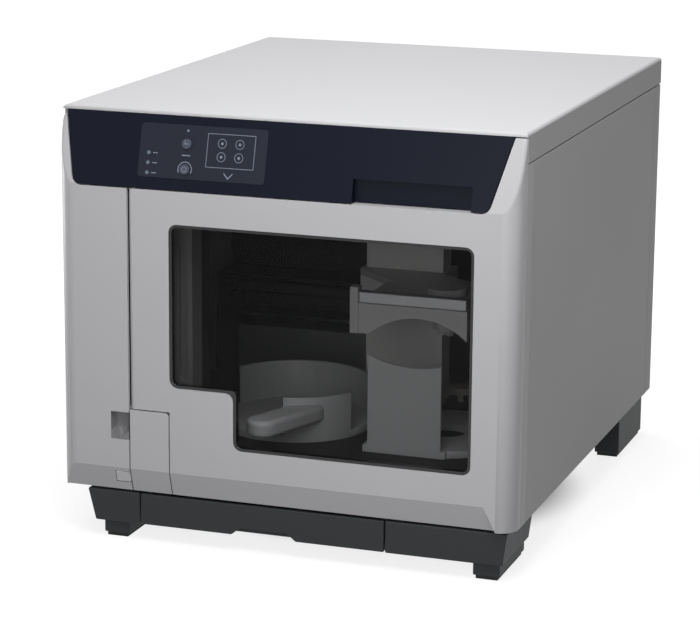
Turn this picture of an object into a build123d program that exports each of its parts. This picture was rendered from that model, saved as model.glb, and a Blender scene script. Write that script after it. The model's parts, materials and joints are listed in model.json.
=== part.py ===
"""Disc label printer with a disc arm, two bins, a printer and an output drawer. Millimetres, +Z up."""
from build123d import *
from math import cos, hypot, pi, radians, sin
import os

os.makedirs("parts", exist_ok=True)

# Overall size and shell
WIDTH = 377.0
DEPTH = 465.0
HEIGHT = 348.0
BODY_BOTTOM = 42.0
CORNER_RADIUS = 15.0
SKIN = 3.0
SEAM = 1.0
RUNNING_FIT = 0.05
SIDE_GAP = 0.3
RIGHT = WIDTH / 2
LEFT = -RIGHT
FRONT = -DEPTH / 2
REAR = DEPTH / 2
INNER_RIGHT = RIGHT - SKIN
INNER_LEFT = -INNER_RIGHT
CORNER_CLEAR = INNER_RIGHT - SKIN - SEAM / 2

# Front frame and the strips beside it
FRAME_SETBACK = 18.5
FRAME_THICK = 4.0
STRIP_DEPTH = 15.0
FRAME_FRONT = FRONT + FRAME_SETBACK
FRAME_REAR = FRAME_FRONT + FRAME_THICK
STRIP_FRONT = FRAME_FRONT + SEAM
STRIP_REAR = STRIP_FRONT + STRIP_DEPTH

# Lid and rear
LID_SKIRT = 23.0
LID_EDGE_RADIUS = 4.0
LID_BOTTOM = HEIGHT - LID_SKIRT
LID_INSIDE = HEIGHT - SKIN
PANEL_TOP = LID_BOTTOM - SEAM
SCREW_HEAD = 1.0
REAR_WRAP = 22.5
REAR_SKIN_OUT = REAR - SCREW_HEAD
REAR_SKIN_IN = REAR_SKIN_OUT - SKIN
WRAP_FRONT = REAR - REAR_WRAP

# Control fascia
FASCIA_HEIGHT = 56.0
FASCIA_BOTTOM = LID_INSIDE - FASCIA_HEIGHT
FASCIA_TILT_BACK = 15.5
FASCIA_LEFT = LEFT + 4.0
FASCIA_RIGHT = RIGHT - 10.1
FASCIA_FOOT_INSET = 14.0
FASCIA_RIGHT_LEAN = 15.4
FASCIA_TOP = LID_INSIDE
FASCIA_RISE = FASCIA_TOP - FASCIA_BOTTOM
FASCIA_SLOPE = FASCIA_TILT_BACK / FASCIA_RISE
FASCIA_CORNER = 7.0
HORN_SHOULDER = 4.0
HORN_EDGE = 3.0

# Door, its window and its hinge
DOOR_DEPTH = 16.5
DOOR_SEAM_X = LEFT + 60.5
DOOR_HINGE_RADIUS = 4.0
DOOR_HINGE_X = DOOR_SEAM_X + SEAM / 2 + DOOR_HINGE_RADIUS
DOOR_HINGE_Y = FRONT + DOOR_HINGE_RADIUS
DOOR_TOP = FASCIA_BOTTOM - SEAM
DOOR_REAR = FRONT + DOOR_DEPTH
HINGE_COVER_RIGHT = DOOR_SEAM_X + 33.5
HINGE_COVER_TOP = 110.0
HINGE_COVER_CORNER = 4.0
PIN_RADIUS = 1.5
PIN_ENGAGE = 12.0
UPPER_PIN_RISE = 6.0
WINDOW_LEFT = HINGE_COVER_RIGHT + SEAM
WINDOW_RIGHT = RIGHT - 35.0
WINDOW_TOP = DOOR_TOP - 26.0
WINDOW_BOTTOM = 85.0
WINDOW_NOTCH_X = WINDOW_LEFT + 53.5
WINDOW_NOTCH_Z = 131.0
WINDOW_CORNER = 7.0
BEZEL_WIDTH = 2.5
BEZEL_DEPTH = 6.0
BEZEL_SETBACK = 0.5
PANE_SETBACK = 1.0
PANE_THICK = 3.0

# Undercut band along the bottom of the front
BAND_TOP = 61.5
BAND_DEPTH = 6.0
BAND_LEFT = LEFT + 4.5
BAND_RIGHT_TOP = RIGHT - 24.5
BAND_RIGHT_BOTTOM = RIGHT - 14.5
RIM_THICK = 10.5
RIM_HEIGHT = 22.0


def block(x0, x1, y0, y1, z0, z1, mode=Mode.ADD):
    """A box between two corners."""
    with Locations(((x0 + x1) / 2, (y0 + y1) / 2, (z0 + z1) / 2)):
        Box(x1 - x0, y1 - y0, z1 - z0, mode=mode)


def post(x, y, z0, z1, radius, mode=Mode.ADD):
    """An upright cylinder."""
    with Locations((x, y, (z0 + z1) / 2)):
        Cylinder(radius, z1 - z0, mode=mode)


def bar_x(x0, x1, y, z, radius, mode=Mode.ADD):
    """A cylinder along X."""
    with Locations(((x0 + x1) / 2, y, z)):
        Cylinder(radius, x1 - x0, rotation=(0, 90, 0), mode=mode)


def bar_y(x, y0, y1, z, radius, mode=Mode.ADD):
    """A cylinder along Y."""
    with Locations((x, (y0 + y1) / 2, z)):
        Cylinder(radius, y1 - y0, rotation=(90, 0, 0), mode=mode)


def front_plane(y):
    """An upright plane facing the front, drawn in X and Z."""
    return Plane.XZ.offset(-y)


def save(builder, name):
    """Name a finished piece and write it."""
    builder.part.label = name
    export_step(builder.part, f"parts/{name}.step")


def fascia_y(z):
    """Where the tilted front face stands at a height."""
    return FRONT + (z - FASCIA_BOTTOM) * FASCIA_SLOPE


def corner_skin(side, x_end):
    """Plan of a thin front skin that wraps one upright corner."""
    centre_x = side * (RIGHT - CORNER_RADIUS)
    centre_y = FRONT + CORNER_RADIUS
    outer = CORNER_RADIUS
    inner = CORNER_RADIUS - SKIN
    half = sin(radians(45))
    with BuildSketch() as plan:
        with BuildLine():
            Line((x_end, FRONT), (centre_x, FRONT))
            ThreePointArc(
                (centre_x, FRONT),
                (centre_x + side * outer * half, centre_y - outer * half),
                (side * RIGHT, centre_y),
            )
            Line((side * RIGHT, centre_y), (side * RIGHT, FRAME_FRONT))
            Line((side * RIGHT, FRAME_FRONT), (side * INNER_RIGHT, FRAME_FRONT))
            Line((side * INNER_RIGHT, FRAME_FRONT), (side * INNER_RIGHT, centre_y))
            ThreePointArc(
                (side * INNER_RIGHT, centre_y),
                (centre_x + side * inner * half, centre_y - inner * half),
                (centre_x, FRONT + SKIN),
            )
            Line((centre_x, FRONT + SKIN), (x_end, FRONT + SKIN))
            Line((x_end, FRONT + SKIN), (x_end, FRONT))
        make_face()
    return plan.sketch


def corner_block(side, x_end):
    """Plan of the filled corner behind that skin."""
    centre_x = side * (RIGHT - CORNER_RADIUS)
    centre_y = FRONT + CORNER_RADIUS
    half = sin(radians(45))
    with BuildSketch() as plan:
        with BuildLine():
            Line((x_end, FRONT), (centre_x, FRONT))
            ThreePointArc(
                (centre_x, FRONT),
                (centre_x + side * CORNER_RADIUS * half, centre_y - CORNER_RADIUS * half),
                (side * RIGHT, centre_y),
            )
            Line((side * RIGHT, centre_y), (side * RIGHT, FRAME_FRONT))
            Line((side * RIGHT, FRAME_FRONT), (x_end, FRAME_FRONT))
            Line((x_end, FRAME_FRONT), (x_end, FRONT))
        make_face()
    return plan.sketch


def fascia_outline():
    """Front view of the dark band, whose ends lean outwards."""
    foot_left = FASCIA_LEFT + FASCIA_FOOT_INSET - SKIN
    foot_right = FASCIA_RIGHT - FASCIA_RIGHT_LEAN
    with BuildSketch(front_plane(FRONT)) as outline:
        with BuildLine():
            FilletPolyline(
                (foot_left, FASCIA_BOTTOM),
                (foot_right, FASCIA_BOTTOM),
                (FASCIA_RIGHT, FASCIA_TOP),
                (FASCIA_LEFT, FASCIA_TOP),
                radius=[FASCIA_CORNER, FASCIA_CORNER, SEAM, SEAM],
                close=True,
            )
        make_face()
    return outline.sketch


def window_outline(inset, y):
    """Front view of the window with its lower left step, drawn in by an inset."""
    with BuildSketch(front_plane(y)) as outline:
        with BuildLine():
            FilletPolyline(
                (WINDOW_LEFT + inset, WINDOW_TOP - inset),
                (WINDOW_RIGHT - inset, WINDOW_TOP - inset),
                (WINDOW_RIGHT - inset, WINDOW_BOTTOM + inset),
                (WINDOW_NOTCH_X + inset, WINDOW_BOTTOM + inset),
                (WINDOW_NOTCH_X + inset, WINDOW_NOTCH_Z + inset),
                (WINDOW_LEFT + inset, WINDOW_NOTCH_Z + inset),
                radius=WINDOW_CORNER - inset,
                close=True,
            )
        make_face()
    return outline.sketch


def soften_horn(builder):
    """Round the leaning edge where the tilted face meets the round corner."""
    fillet(builder.edges().filter_by(GeomType.ELLIPSE).sort_by(SortBy.LENGTH)[-1], radius=HORN_EDGE)


# Cutting shapes shared by the front pieces
with BuildPart() as tilt_tool:
    with BuildSketch(Plane.YZ.offset(LEFT - SKIN)):
        with BuildLine():
            Polyline(
                (FRONT - CORNER_RADIUS, FASCIA_BOTTOM),
                (FRONT, FASCIA_BOTTOM),
                (fascia_y(HEIGHT), HEIGHT),
                (FRONT - CORNER_RADIUS, HEIGHT),
                close=True,
            )
        make_face()
    extrude(amount=WIDTH + 2 * SKIN)

with BuildPart() as band_tool:
    with BuildSketch(Plane.YZ.offset(LEFT - SKIN)):
        with BuildLine():
            Polyline(
                (FRONT - SKIN, BAND_TOP),
                (FRONT, BAND_TOP),
                (FRONT + BAND_DEPTH, BODY_BOTTOM),
                (FRONT - SKIN, BODY_BOTTOM),
                close=True,
            )
        make_face()
    extrude(amount=WIDTH)
    with BuildSketch(front_plane(FRONT - SKIN)):
        with BuildLine():
            Polyline(
                (BAND_LEFT, BAND_TOP),
                (BAND_RIGHT_TOP, BAND_TOP),
                (BAND_RIGHT_BOTTOM, BODY_BOTTOM),
                (BAND_LEFT, BODY_BOTTOM),
                close=True,
            )
        make_face()
    extrude(amount=-DOOR_DEPTH, mode=Mode.INTERSECT)

# Floor, base and feet
PAN_THICK = 3.0
PAN_BOTTOM = 40.0
PAN_TOP = PAN_BOTTOM + PAN_THICK
DECK_TOP = 66.0
DECK_THICK = 3.0
DECK_WALL = 3.0
SKIRT_BOTTOM = 14.0
SKIRT_PROUD = 0.5
SKIRT_FRONT = FRONT + BAND_DEPTH - SKIRT_PROUD
SKIRT_REAR = FRONT + 82.5
SKIRT_LEAN = 6.6
SKIRT_LEFT_END = LEFT + 20.9
SKIRT_RIGHT_END = RIGHT - 6.5
DRAWER_LEFT = -121.5
DRAWER_RIGHT = 83.0
PAD_THICK = 3.0
PAD_INSET = 2.0
FRONT_FOOT_WIDTH = 21.5
FRONT_FOOT_LEFT = LEFT + 33.0
FRONT_FOOT_RIGHT = RIGHT - 34.7
FRONT_FOOT_Y0 = FRONT + 10.5
REAR_FOOT_WIDTH = 22.0
REAR_FOOT_INSET = 6.5
REAR_FOOT_Y0 = REAR - 92.5
REAR_FOOT_Y1 = REAR - 4.5

# Turret and the places it serves
DISC_RADIUS = 60.0
BIN_FRONT_Y = FRONT + 160.5
BIN_1_X = RIGHT - 104.5
BIN_SPACING = 130.0
BIN_2_X = BIN_1_X - BIN_SPACING
TURRET_X = (BIN_1_X + BIN_2_X) / 2
TURRET_Y = BIN_FRONT_Y + 97.0
ARM_REACH = hypot(BIN_1_X - TURRET_X, BIN_FRONT_Y - TURRET_Y)
TRAY_X = TURRET_X - ARM_REACH
WELL_RADIUS = DISC_RADIUS + 1.5
DECK_REAR = TURRET_Y + 45.0

with BuildPart() as base_pan:
    block(INNER_LEFT, INNER_RIGHT, FRAME_REAR, REAR_SKIN_IN, PAN_BOTTOM, PAN_TOP)
    post(BIN_2_X, BIN_FRONT_Y, PAN_BOTTOM, PAN_TOP, WELL_RADIUS, Mode.SUBTRACT)
save(base_pan, "base_pan")

with BuildPart() as base_skirts:
    for outline in (
        (
            (SKIRT_LEFT_END, PAN_BOTTOM),
            (DRAWER_LEFT - SEAM, PAN_BOTTOM),
            (DRAWER_LEFT - SEAM, SKIRT_BOTTOM),
            (SKIRT_LEFT_END + SKIRT_LEAN, SKIRT_BOTTOM),
        ),
        (
            (DRAWER_RIGHT + SEAM, PAN_BOTTOM),
            (SKIRT_RIGHT_END, PAN_BOTTOM),
            (SKIRT_RIGHT_END - SKIRT_LEAN / 2, SKIRT_BOTTOM),
            (DRAWER_RIGHT + SEAM, SKIRT_BOTTOM),
        ),
    ):
        with BuildSketch(front_plane(SKIRT_FRONT)):
            with BuildLine():
                Polyline(*outline, close=True)
            make_face()
        extrude(amount=-(SKIRT_REAR - SKIRT_FRONT))
save(base_skirts, "base_skirts")

with BuildPart() as front_feet:
    for foot_x in (FRONT_FOOT_LEFT, FRONT_FOOT_RIGHT):
        block(foot_x, foot_x + FRONT_FOOT_WIDTH, FRONT_FOOT_Y0, SKIRT_REAR, PAD_THICK, SKIRT_BOTTOM)
save(front_feet, "front_feet")

rear_foot_lefts = (RIGHT - REAR_FOOT_INSET - REAR_FOOT_WIDTH, LEFT + REAR_FOOT_INSET)
with BuildPart() as rear_feet:
    for foot_x in rear_foot_lefts:
        block(foot_x, foot_x + REAR_FOOT_WIDTH, REAR_FOOT_Y0, REAR_FOOT_Y1, PAD_THICK, PAN_BOTTOM)
save(rear_feet, "rear_feet")

with BuildPart() as foot_pads:
    for foot_x in (FRONT_FOOT_LEFT, FRONT_FOOT_RIGHT):
        x_end = foot_x + FRONT_FOOT_WIDTH - PAD_INSET
        block(foot_x + PAD_INSET, x_end, FRONT_FOOT_Y0 + PAD_INSET, SKIRT_REAR - PAD_INSET, 0, PAD_THICK)
    for foot_x in rear_foot_lefts:
        x_end = foot_x + REAR_FOOT_WIDTH - PAD_INSET
        block(foot_x + PAD_INSET, x_end, REAR_FOOT_Y0 + PAD_INSET, REAR_FOOT_Y1 - PAD_INSET, 0, PAD_THICK)
save(foot_pads, "foot_pads")

# Swing drive under the deck
GEAR_MODULE = 1.25
TOOTH_DEPTH = 1.1
TOOTH_HEIGHT = 0.8
TOOTH_FOOT = 0.27
TOOTH_CREST = 0.13
TURRET_TEETH = 60
PINION_TEETH = 16
GEAR_DISTANCE = GEAR_MODULE * (TURRET_TEETH + PINION_TEETH) / 2
PINION_ANGLE = 20.0
PINION_X = TURRET_X + GEAR_DISTANCE * cos(radians(PINION_ANGLE))
PINION_Y = TURRET_Y + GEAR_DISTANCE * sin(radians(PINION_ANGLE))
SHAFT_RADIUS = 2.5

with BuildPart() as floor_deck:
    deck_left = INNER_LEFT + SEAM
    deck_right = INNER_RIGHT - SEAM
    deck_under = DECK_TOP - DECK_THICK
    block(deck_left, deck_right, FRAME_REAR, DECK_REAR, PAN_TOP, DECK_TOP)
    block(
        deck_left + DECK_WALL,
        deck_right - DECK_WALL,
        FRAME_REAR + DECK_WALL,
        DECK_REAR - DECK_WALL,
        PAN_TOP,
        deck_under,
        Mode.SUBTRACT,
    )
    post(BIN_2_X, BIN_FRONT_Y, PAN_TOP, deck_under, WELL_RADIUS + DECK_WALL)
    post(BIN_2_X, BIN_FRONT_Y, PAN_TOP, DECK_TOP, WELL_RADIUS, Mode.SUBTRACT)
    post(PINION_X, PINION_Y, deck_under, DECK_TOP, SHAFT_RADIUS + SIDE_GAP, Mode.SUBTRACT)
save(floor_deck, "floor_deck")

# Frame, side panels, rear panel and lid
BAY_LEFT = INNER_LEFT + 2.5
BAY_RIGHT = DOOR_SEAM_X + 23.0
CHAMBER_LEFT = BAY_RIGHT + SEAM
CHAMBER_RIGHT = INNER_RIGHT - 7.5
INK_OPENING_LEFT = INNER_LEFT + 5.5
INK_OPENING_RIGHT = BAY_RIGHT - SKIN
OPENING_BOTTOM = 68.0
OPENING_TOP = FASCIA_BOTTOM - 5.0
COVER_HINGE_RADIUS = 3.0
COVER_HINGE_X = LEFT + COVER_HINGE_RADIUS
COVER_HINGE_Y = FRAME_FRONT - 4.0
COVER_PIN_RADIUS = 1.2
LUG_HEIGHT = 14.0
LUG_INSET = 32.0
LUG_CENTRES = (BODY_BOTTOM + 44.0, DOOR_TOP - LUG_INSET)
LUG_NECK_OUT = 0.8
LUG_NECK_IN = 2.5
FRAME_SIDE = INNER_RIGHT - SEAM

with BuildPart() as front_frame:
    block(-FRAME_SIDE, FRAME_SIDE, FRAME_FRONT, FRAME_REAR, PAN_TOP, PANEL_TOP)
    for side in (-1, 1):
        outer = sorted((side * RIGHT, side * INNER_RIGHT))
        inner = sorted((side * RIGHT, side * FRAME_SIDE))
        block(*inner, STRIP_FRONT, FRAME_REAR, BODY_BOTTOM, PANEL_TOP)
        block(*outer, STRIP_FRONT, STRIP_REAR, BODY_BOTTOM, PANEL_TOP)
    for opening_left, opening_right in (
        (CHAMBER_LEFT, CHAMBER_RIGHT),
        (INK_OPENING_LEFT, INK_OPENING_RIGHT),
    ):
        block(
            opening_left,
            opening_right,
            FRAME_FRONT - SEAM,
            FRAME_REAR + SEAM,
            OPENING_BOTTOM,
            OPENING_TOP,
            Mode.SUBTRACT,
        )
    for lug_z in LUG_CENTRES:
        low = lug_z - LUG_HEIGHT / 2
        high = lug_z + LUG_HEIGHT / 2
        post(COVER_HINGE_X, COVER_HINGE_Y, low, high, COVER_HINGE_RADIUS - SIDE_GAP)
        neck_left = COVER_HINGE_X - LUG_NECK_OUT
        neck_right = COVER_HINGE_X + LUG_NECK_IN
        block(neck_left, neck_right, COVER_HINGE_Y, FRAME_REAR, low, high)
        post(COVER_HINGE_X, COVER_HINGE_Y, low, high, COVER_PIN_RADIUS + RUNNING_FIT, Mode.SUBTRACT)
save(front_frame, "front_frame")

TONGUE_BOTTOM = LID_BOTTOM - 25.0
for panel_name, side in (("right_side_panel", 1), ("left_side_panel", -1)):
    with BuildPart() as side_panel:
        skin_x = sorted((side * RIGHT, side * INNER_RIGHT))
        tongue_x = sorted((side * INNER_RIGHT, side * (INNER_RIGHT - SKIN)))
        panel_front = STRIP_REAR + SEAM / 2
        panel_rear = WRAP_FRONT - SEAM / 2
        block(*skin_x, panel_front, panel_rear, BODY_BOTTOM, PANEL_TOP)
        block(*tongue_x, panel_front + SKIN, panel_rear - SKIN, TONGUE_BOTTOM, LID_INSIDE)
    save(side_panel, panel_name)

FAN_X = RIGHT - 63.5
FAN_Z = 215.0
FAN_SIZE = 60.0
FAN_DEPTH = 15.0
FAN_BORE = 27.0
INLET_X = LEFT + 58.5
INLET_Z = 74.0
INLET_WIDTH = 28.0
INLET_HEIGHT = 22.0
USB_X = RIGHT - 88.5
USB_WIDTH = 13.0
USB_HEIGHT = 12.0
BOARD_Z = 60.0
BOARD_THICK = 2.0
USB_Z0 = BOARD_Z + BOARD_THICK
SCREW_RADIUS = 3.5
SCREW_INSET = 12.0
VENT_SLOT = 3.5
VENT_COUNT = 7

with BuildPart() as rear_panel:
    block(LEFT, RIGHT, WRAP_FRONT, REAR_SKIN_OUT, BODY_BOTTOM, PANEL_TOP)
    block(
        INNER_LEFT,
        INNER_RIGHT,
        WRAP_FRONT - SEAM,
        REAR_SKIN_IN,
        BODY_BOTTOM - SEAM,
        PANEL_TOP + SEAM,
        Mode.SUBTRACT,
    )
    vent_pitch = 2 * FAN_BORE / VENT_COUNT
    for index in range(VENT_COUNT):
        vent_z = FAN_Z - FAN_BORE + (index + 0.5) * vent_pitch
        half = (FAN_BORE**2 - (vent_z - FAN_Z) ** 2) ** 0.5
        block(
            FAN_X - half,
            FAN_X + half,
            REAR_SKIN_IN - SEAM,
            REAR_SKIN_OUT + SEAM,
            vent_z - VENT_SLOT / 2,
            vent_z + VENT_SLOT / 2,
            Mode.SUBTRACT,
        )
    block(
        INLET_X - INLET_WIDTH / 2,
        INLET_X + INLET_WIDTH / 2,
        REAR_SKIN_IN - SEAM,
        REAR_SKIN_OUT + SEAM,
        INLET_Z - INLET_HEIGHT / 2,
        INLET_Z + INLET_HEIGHT / 2,
        Mode.SUBTRACT,
    )
    block(
        USB_X - USB_WIDTH / 2,
        USB_X + USB_WIDTH / 2,
        REAR_SKIN_IN - SEAM,
        REAR_SKIN_OUT + SEAM,
        USB_Z0,
        USB_Z0 + USB_HEIGHT,
        Mode.SUBTRACT,
    )
save(rear_panel, "rear_panel")

with BuildPart() as rear_screws:
    for screw_x in (LEFT + SCREW_INSET, 0, RIGHT - SCREW_INSET):
        for screw_z in (BODY_BOTTOM + SCREW_INSET, PANEL_TOP - SCREW_INSET):
            bar_y(screw_x, REAR_SKIN_OUT, REAR, screw_z, SCREW_RADIUS)
save(rear_screws, "rear_screws")

LID_FRONT = fascia_y(FASCIA_TOP)
with BuildPart() as top_cover:
    block(LEFT, RIGHT, LID_FRONT, REAR, LID_BOTTOM, HEIGHT)
    fillet(top_cover.edges().group_by(Axis.Z)[-1], radius=LID_EDGE_RADIUS - SEAM)
    block(
        INNER_LEFT, INNER_RIGHT, LID_FRONT - SKIN, REAR - SKIN, LID_BOTTOM - SEAM, LID_INSIDE, Mode.SUBTRACT
    )
    front_cut = (LID_FRONT - SKIN, STRIP_FRONT)
    block(LEFT - SEAM, RIGHT + SEAM, *front_cut, LID_BOTTOM - SEAM, LID_INSIDE, Mode.SUBTRACT)
save(top_cover, "top_cover")

# Control fascia, film, lamps and buttons
FINGER_LEFT = RIGHT - 132.5
FINGER_RIGHT = RIGHT - 38.5
FINGER_TOP = FASCIA_BOTTOM + 18.0
FINGER_DEPTH = 9.0
POCKET_LEFT = LEFT + 23.5
POCKET_RIGHT = FINGER_LEFT - 6.0
POCKET_TOP = FASCIA_TOP - 4.0
FILM_LEFT = LEFT + 68.5
FILM_RIGHT = FILM_LEFT + 105.0
FILM_BOTTOM = FASCIA_BOTTOM + 8.0
FILM_TOP = FASCIA_TOP - 6.0
FILM_THICK = 0.4
LAMP_X = FILM_LEFT + 8.0
LAMP_PITCH = 7.5
LAMP_Z = FASCIA_BOTTOM + 12.0
LAMP_ZS = (LAMP_Z, LAMP_Z + LAMP_PITCH, LAMP_Z + 2 * LAMP_PITCH)
LAMP_RADIUS = 1.5
LAMP_PROUD = 0.8
LAMP_LENGTH = 4.5
BUTTON_X = FILM_LEFT + 39.0
BUTTON_PITCH = 19.0
BUTTON_Z = FASCIA_BOTTOM + 16.0
BUTTON_ZS = (BUTTON_Z, BUTTON_Z + BUTTON_PITCH)
BUTTON_RADIUS = 4.0
BUTTON_PROUD = 1.8
BUTTON_LENGTH = 7.0
BUTTON_FLANGE = 5.5
BUTTON_FLANGE_THICK = 1.2


def fascia_plane(x, z):
    """A plane on the tilted face, with its normal outwards."""
    return Plane(origin=(x, fascia_y(z), z), x_dir=(1, 0, 0), z_dir=(0, -1, FASCIA_SLOPE))


def fascia_pin(x, z, low, high, radius, mode=Mode.ADD):
    """A cylinder square to the tilted face, from low to high along the normal."""
    with BuildSketch(fascia_plane(x, z).offset(low)) as disc:
        Circle(radius)
    extrude(disc.sketch, amount=high - low, mode=mode)


with BuildPart() as control_fascia:
    extrude(fascia_outline(), amount=-FRAME_SETBACK)
    add(tilt_tool.part, mode=Mode.SUBTRACT)
    skin_offset = SKIN * (1 + FASCIA_SLOPE**2) ** 0.5
    with BuildSketch(Plane.YZ.offset(POCKET_LEFT)) as pocket:
        with BuildLine():
            Polyline(
                (fascia_y(FASCIA_BOTTOM + SKIN) + skin_offset, FASCIA_BOTTOM + SKIN),
                (FRAME_FRONT + SEAM, FASCIA_BOTTOM + SKIN),
                (FRAME_FRONT + SEAM, POCKET_TOP),
                (fascia_y(POCKET_TOP) + skin_offset, POCKET_TOP),
                close=True,
            )
        make_face()
    extrude(pocket.sketch, amount=POCKET_RIGHT - POCKET_LEFT, mode=Mode.SUBTRACT)
    block(
        FINGER_LEFT,
        FINGER_RIGHT,
        FRONT - SKIN,
        FRONT + FINGER_DEPTH,
        FASCIA_BOTTOM - SEAM,
        FINGER_TOP,
        Mode.SUBTRACT,
    )
    for lamp_z in LAMP_ZS:
        fascia_pin(LAMP_X, lamp_z, -2 * SKIN, SKIN, LAMP_RADIUS, Mode.SUBTRACT)
    for button_z in BUTTON_ZS:
        fascia_pin(BUTTON_X, button_z, -SKIN - SEAM, SKIN, BUTTON_RADIUS + SIDE_GAP, Mode.SUBTRACT)
    post(
        DOOR_HINGE_X,
        DOOR_HINGE_Y,
        FASCIA_BOTTOM,
        FASCIA_BOTTOM + UPPER_PIN_RISE,
        PIN_RADIUS,
        Mode.SUBTRACT,
    )
save(control_fascia, "control_fascia")

with BuildPart() as control_film:
    film_x = (FILM_LEFT + FILM_RIGHT) / 2
    film_z = (FILM_BOTTOM + FILM_TOP) / 2
    with BuildSketch(fascia_plane(film_x, film_z)):
        RectangleRounded(FILM_RIGHT - FILM_LEFT, FILM_TOP - FILM_BOTTOM, SKIN)
    extrude(amount=FILM_THICK)
    for lamp_z in LAMP_ZS:
        fascia_pin(LAMP_X, lamp_z, -SEAM, SKIN, LAMP_RADIUS, Mode.SUBTRACT)
    for button_z in BUTTON_ZS:
        fascia_pin(BUTTON_X, button_z, -SEAM, SKIN, BUTTON_RADIUS + SIDE_GAP, Mode.SUBTRACT)
save(control_film, "control_film")

with BuildPart() as status_lamps:
    for lamp_z in LAMP_ZS:
        fascia_pin(LAMP_X, lamp_z, LAMP_PROUD - LAMP_LENGTH, LAMP_PROUD, LAMP_RADIUS)
save(status_lamps, "status_lamps")

for button_name, button_z in zip(("power_button", "cancel_button"), BUTTON_ZS):
    with BuildPart() as button:
        fascia_pin(BUTTON_X, button_z, BUTTON_PROUD - BUTTON_LENGTH, BUTTON_PROUD, BUTTON_RADIUS)
        flange_top = -SKIN - SIDE_GAP
        fascia_pin(BUTTON_X, button_z, flange_top - BUTTON_FLANGE_THICK, flange_top, BUTTON_FLANGE)
    save(button, button_name)

# Hinge cover, door, window
with BuildPart() as hinge_cover:
    cover_left = DOOR_SEAM_X + SEAM / 2
    with BuildSketch(front_plane(FRONT)) as face:
        with BuildLine():
            FilletPolyline(
                (cover_left, BODY_BOTTOM),
                (HINGE_COVER_RIGHT, BODY_BOTTOM),
                (HINGE_COVER_RIGHT, HINGE_COVER_TOP),
                (cover_left, HINGE_COVER_TOP),
                radius=[SEAM / 2, SEAM / 2, HINGE_COVER_CORNER, SEAM / 2],
                close=True,
            )
        make_face()
    extrude(face.sketch, amount=-SKIN)
    rim_rear = FRONT + SKIN + RIM_THICK
    block(cover_left, HINGE_COVER_RIGHT, FRONT + SKIN, rim_rear, BODY_BOTTOM, BODY_BOTTOM + RIM_HEIGHT)
    block(
        cover_left,
        DOOR_HINGE_X + 2 * DOOR_HINGE_RADIUS,
        FRONT + SKIN,
        FRAME_FRONT,
        BODY_BOTTOM + RIM_HEIGHT,
        HINGE_COVER_TOP - SEAM,
    )
    add(band_tool.part, mode=Mode.SUBTRACT)
    post(DOOR_HINGE_X, DOOR_HINGE_Y, HINGE_COVER_TOP - PIN_ENGAGE, HINGE_COVER_TOP, PIN_RADIUS, Mode.SUBTRACT)
save(hinge_cover, "hinge_cover")

STRIKE_LEFT = RIGHT - 12.5
STRIKE_RIGHT = CORNER_CLEAR
STRIKE_Z0 = 178.0
STRIKE_Z1 = 202.0
CATCH_DEPTH = 3.0
HORN_INNER = RIGHT - 38.5
door_low = HINGE_COVER_TOP + SEAM
with BuildPart() as door_shell:
    extrude(corner_skin(1, DOOR_HINGE_X).moved(Location((0, 0, BODY_BOTTOM))), amount=DOOR_TOP - BODY_BOTTOM)
    horn_height = LID_INSIDE - SEAM - DOOR_TOP
    extrude(corner_block(1, HORN_INNER).moved(Location((0, 0, DOOR_TOP))), amount=horn_height)
    with BuildSketch(front_plane(FRONT - SKIN)) as horn_cut:
        add(fascia_outline().moved(Location((0, -SKIN, 0))))
        offset(amount=SEAM)
    extrude(horn_cut.sketch, amount=-2 * DOOR_DEPTH, mode=Mode.SUBTRACT)
    shoulder = (FRONT - SKIN, FRAME_FRONT + SKIN, FASCIA_TOP - HORN_SHOULDER, HEIGHT)
    block(HORN_INNER - SEAM, FASCIA_RIGHT, *shoulder, Mode.SUBTRACT)
    add(tilt_tool.part, mode=Mode.SUBTRACT)
    block(
        HINGE_COVER_RIGHT + SEAM,
        CORNER_CLEAR,
        FRONT + SKIN,
        FRONT + SKIN + RIM_THICK,
        BODY_BOTTOM,
        BODY_BOTTOM + RIM_HEIGHT,
    )
    block(DOOR_HINGE_X, CORNER_CLEAR, FRONT + SKIN, DOOR_REAR, DOOR_TOP - SKIN, DOOR_TOP)
    block(STRIKE_LEFT, STRIKE_RIGHT, FRONT + SKIN, FRAME_FRONT - CATCH_DEPTH - SIDE_GAP, STRIKE_Z0, STRIKE_Z1)
    post(DOOR_HINGE_X, DOOR_HINGE_Y, door_low, DOOR_TOP, DOOR_HINGE_RADIUS)
    block(
        LEFT,
        HINGE_COVER_RIGHT + SEAM,
        FRONT - SKIN,
        FRAME_FRONT + SKIN,
        BODY_BOTTOM - SEAM,
        door_low,
        Mode.SUBTRACT,
    )
    add(band_tool.part, mode=Mode.SUBTRACT)
    extrude(window_outline(0, FRONT - SKIN), amount=-(2 * SKIN + BEZEL_DEPTH), mode=Mode.SUBTRACT)
    hole_radius = PIN_RADIUS + RUNNING_FIT
    post(DOOR_HINGE_X, DOOR_HINGE_Y, door_low, door_low + PIN_ENGAGE, hole_radius, Mode.SUBTRACT)
    post(DOOR_HINGE_X, DOOR_HINGE_Y, DOOR_TOP - PIN_ENGAGE, DOOR_TOP, hole_radius, Mode.SUBTRACT)
    soften_horn(door_shell)
save(door_shell, "door_shell")

with BuildPart() as window_bezel:
    bezel_front = FRONT + BEZEL_SETBACK
    extrude(window_outline(0, bezel_front), amount=-BEZEL_DEPTH)
    extrude(window_outline(BEZEL_WIDTH, bezel_front), amount=-BEZEL_DEPTH, mode=Mode.SUBTRACT)
save(window_bezel, "window_bezel")

with BuildPart() as window_pane:
    extrude(window_outline(BEZEL_WIDTH, FRONT + PANE_SETBACK), amount=-PANE_THICK)
save(window_pane, "window_pane")

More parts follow.
